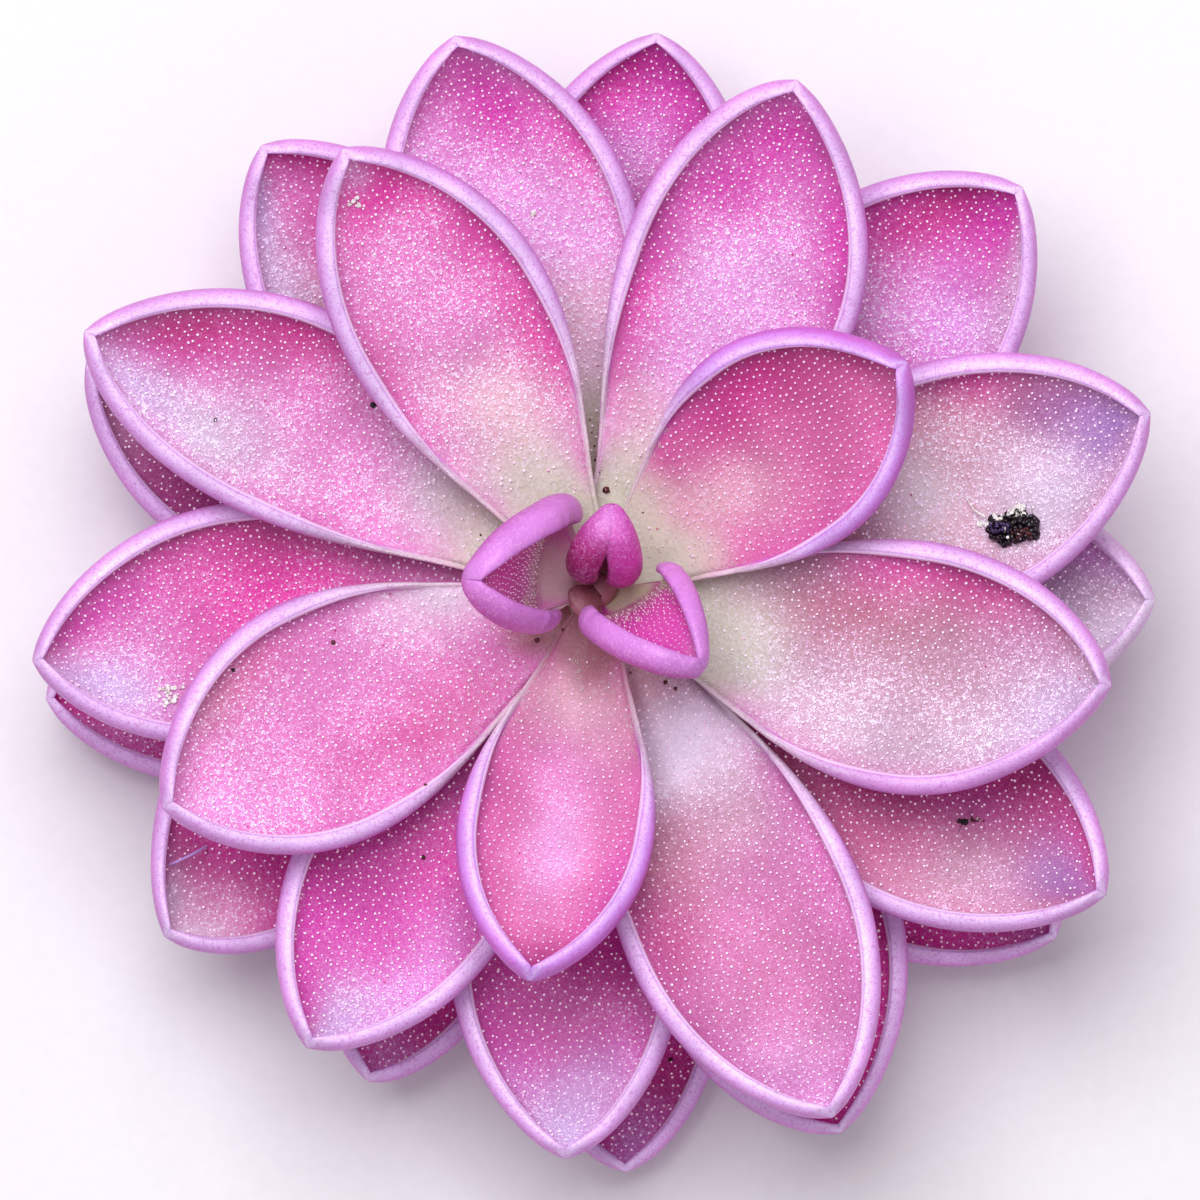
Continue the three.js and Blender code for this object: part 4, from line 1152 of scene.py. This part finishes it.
# The wing strand that trails from the gnat: places from above, lift over the leaf and half thickness.
STRAND = [((15.6, 2.9), 0.35, 0.05), ((15.3, 3.05), 0.3, 0.06), ((14.95, 3.35), 0.2, 0.03), ((14.72, 3.8), 0.12, 0.012)]


class BUTTERWORT_OT_prey(bpy.types.Operator):
    """Adds the crumpled gnat on one leaf and the small scrap of another"""

    bl_idname, bl_label = "butterwort.prey", "Caught gnats"
    # Each shape's template, the length of one unit of it in metres, and how far it leans.
    shapes = {"grain": (grain_template, MM, 1.2), "flake": (flake_template, MM, 0.8), "leg": (leg_template, 1, 1.6)}

    def heap(self, name, tree, place, extent, kinds, rng):
        """Piles the scraps on the skin at a place."""
        middle, normal = land(tree, *place)
        east = np.array([1.0, 0, 0]) - normal * normal[0]
        east /= np.linalg.norm(east)
        north = np.cross(normal, east)
        length, width, height = extent
        parts = []
        for seed, kind in enumerate(kinds):
            u, v = rng.uniform(*kind.east, kind.number), rng.uniform(*kind.north, kind.number)
            v = v * np.sqrt(np.clip(1 - 0.8 * u * u, 0.2, 1)) + 0.12 * np.sin(4 * u)
            top = height * np.sqrt(np.clip(1 - 0.85 * (u * u + v * v), 0.06, 1)) * (1 + 0.25 * np.sin(5 * u + 2 * v))
            up = top * rng.uniform(*kind.lift, kind.number)
            places = middle + np.stack([u * length / 2, v * width / 2, up], axis=1) @ np.array([east, north, normal])
            draw, unit_length, lean = self.shapes[kind.shape]
            axes = tilted(np.tile(normal, (kind.number, 1)), rng, lean)
            scales, spins = rng.uniform(*kind.size, kind.number) * unit_length, rng.uniform(0, TURN, kind.number)
            parts.append(scatter("scraps", draw(seed), places * MM, axes, scales, spins,
                                 np.full(kind.number, kind.tone)))
        return joined(name, parts)

    def execute(self, context):
        tree = skin_tree()
        material = remains_material()
        whole = self.heap("gnat_remains", tree, GNAT_PLACE, GNAT_EXTENT, GNAT, np.random.default_rng(GNAT_SEED))
        hand_over(whole, material, ["prey_remains"])
        scrap = self.heap("gnat_scrap", tree, SCRAP_PLACE, SCRAP_EXTENT, SCRAP, np.random.default_rng(SCRAP_SEED))
        hand_over(scrap, material)
        strand = strand_over("gnat_strand", tree, STRAND)
        write_field(strand, "tone", np.full(len(strand.data.vertices), BLEACHED))
        hand_over(strand, material)
        return {"FINISHED"}


# Specks of dirt: place from above, size in millimetres, and the tone of the remains' material.
SPECKS = [
    ((0.32, 4), 0.3, 0.45), ((-0.1, 5.2), 0.12, 0.45), ((-9, 7.4), 0.26, 0), ((-15.3, 6.8), 0.16, 0),
    ((-10.6, -2.1), 0.2, 0.45), ((-14.6, -3.2), 0.16, 0), ((-6.9, -7.8), 0.14, 0.4), ((-7, -10.7), 0.2, 0.45),
    ((2.9, -18.8), 0.2, 0.45), ((-2.45, -2), 0.2, 0.45), ((-1.4, -1.6), 0.14, 0.45), ((2.7, -3.7), 0.18, 0.45),
    ((1.3, -3.3), 0.1, 0.45), ((1.8, 3.1), 0.08, 0.45), ((3.1, -3.95), 0.16, 0.45), ((-4.7, 2.2), 0.1, 0.45),
    ((-0.32, 6.8), 0.08, 0.45), ((-0.24, 6.3), 0.07, 0.45), ((-0.14, 5.75), 0.09, 0.45), ((0.08, 4.7), 0.09, 0.45),
    ((15.05, 3.25), 0.1, 0.45),
]
# Pale crusts: place from above, spread and number of flakes.
CRUSTS = [((-17.2, -4.1), 0.5, 26), ((-9.7, 15.6), 0.3, 9), ((-2.6, 15.1), 0.2, 4)]
# A lint fibre that bridges two margins, given like the strand.
FIBRE = [((-17.2, -11), 0.1, 0.045), ((-16.4, -10.65), 0.9, 0.06), ((-15.7, -10.24), 0.15, 0.05)]


class BUTTERWORT_OT_dirt(bpy.types.Operator):
    """Adds specks, pale crusts and one lilac fibre that lie on the leaves"""

    bl_idname, bl_label = "butterwort.dirt", "Specks and fibre"

    def execute(self, context):
        tree = skin_tree()
        rng = np.random.default_rng(DIRT_SEED)
        spots, sizes, tones = zip(*SPECKS)
        places, normals = land_all(tree, spots)
        specks = scatter("specks", grain_template(8), places * MM, tilted(normals, rng, 0.3), np.array(sizes) * MM,
                         rng.uniform(0, TURN, len(spots)), tones)
        spots = [np.array(middle) + rng.normal(0, spread / 2, 2) for middle, spread, number in CRUSTS
                 for _ in range(number)]
        places, normals = land_all(tree, spots)
        crusts = scatter("crusts", flake_template(3), (places + 0.06 * normals) * MM, tilted(normals, rng, 0.5),
                         rng.uniform(0.1, 0.24, len(spots)) * MM, rng.uniform(0, TURN, len(spots)),
                         np.full(len(spots), BLEACHED))
        dirt = joined("specks_and_crusts", [specks, crusts])
        hand_over(dirt, bpy.data.materials.get("gnat_remains") or remains_material())
        hand_over(strand_over("lint_fibre", tree, FIBRE), fibre_material())
        return {"FINISHED"}


class BUTTERWORT_OT_stage(bpy.types.Operator):
    """Adds the floor, the lights and the camera"""

    bl_idname, bl_label = "butterwort.stage", "Floor, light and camera"
    daylight = "#F9F7FF"
    lamp_size, sky_strength, floor_gap = 0.3, 0.45, 0.02 * MM
    lamps = {"softbox": ((-0.06, 0.16, 0.35), 1.65), "fill": ((0.25, -0.2, 0.3), 0.15)}  # place and power
    camera_place, frame_width = (0.08 * MM, -0.4 * MM, 0.35), 48 * MM

    def execute(self, context):
        scene = context.scene
        floor = drawn(bpy.ops.mesh.primitive_plane_add, size=2, location=(0, 0, -self.floor_gap))
        floor.name = "floor"
        floor.data.materials.append(board_material())
        for name, (place, power) in self.lamps.items():
            lamp = drawn(bpy.ops.object.light_add, type="AREA", location=place)
            lamp.name = name
            lamp.data.size, lamp.data.energy, lamp.data.color = self.lamp_size, power, linear(self.daylight)
            lamp.rotation_euler = (-Vector(place)).to_track_quat("-Z", "Y").to_euler()
        scene.world = bpy.data.worlds.new("studio")
        scene.world.use_nodes = True
        tree = scene.world.node_tree
        feed(tree, tree.nodes["Background"], {"Color": self.daylight, "Strength": self.sky_strength})
        scene.camera = drawn(bpy.ops.object.camera_add, location=self.camera_place, rotation=(0, 0, 0))
        camera = scene.camera.data
        camera.type, camera.ortho_scale = "ORTHO", self.frame_width
        camera.clip_start, camera.clip_end = 0.01, 10
        scene.view_settings.view_transform = "Standard"
        return {"FINISHED"}


class BUTTERWORT_PT_panel(bpy.types.Panel):
    """Lists what may be changed, and the pieces of the rosette"""

    bl_idname, bl_label = "BUTTERWORT_PT_panel", "Butterwort"
    bl_space_type, bl_region_type, bl_category = "VIEW_3D", "UI", "Butterwort"

    def draw(self, context):
        for prop in RosetteLooks.__annotations__:
            self.layout.prop(context.scene.butterwort_looks, prop)
        for operator in STEPS:
            self.layout.operator(operator.bl_idname)


STEPS = (BUTTERWORT_OT_heart_leaves, BUTTERWORT_OT_inner_leaves, BUTTERWORT_OT_middle_leaves,
         BUTTERWORT_OT_outer_leaves, BUTTERWORT_OT_lowest_leaves, BUTTERWORT_OT_crown_stem, BUTTERWORT_OT_glands,
         BUTTERWORT_OT_hairs, BUTTERWORT_OT_prey, BUTTERWORT_OT_dirt, BUTTERWORT_OT_stage)
CLASSES = (RosetteLooks, *STEPS, BUTTERWORT_PT_panel)


def register():
    for made in CLASSES:
        bpy.utils.register_class(made)
    bpy.types.Scene.butterwort_looks = bpy.props.PointerProperty(type=RosetteLooks)


def unregister():
    del bpy.types.Scene.butterwort_looks
    for made in reversed(CLASSES):
        bpy.utils.unregister_class(made)


def main():
    register()
    for step in STEPS:
        getattr(bpy.ops.butterwort, step.bl_idname.split(".")[1])()


if __name__ == "__main__":
    main()
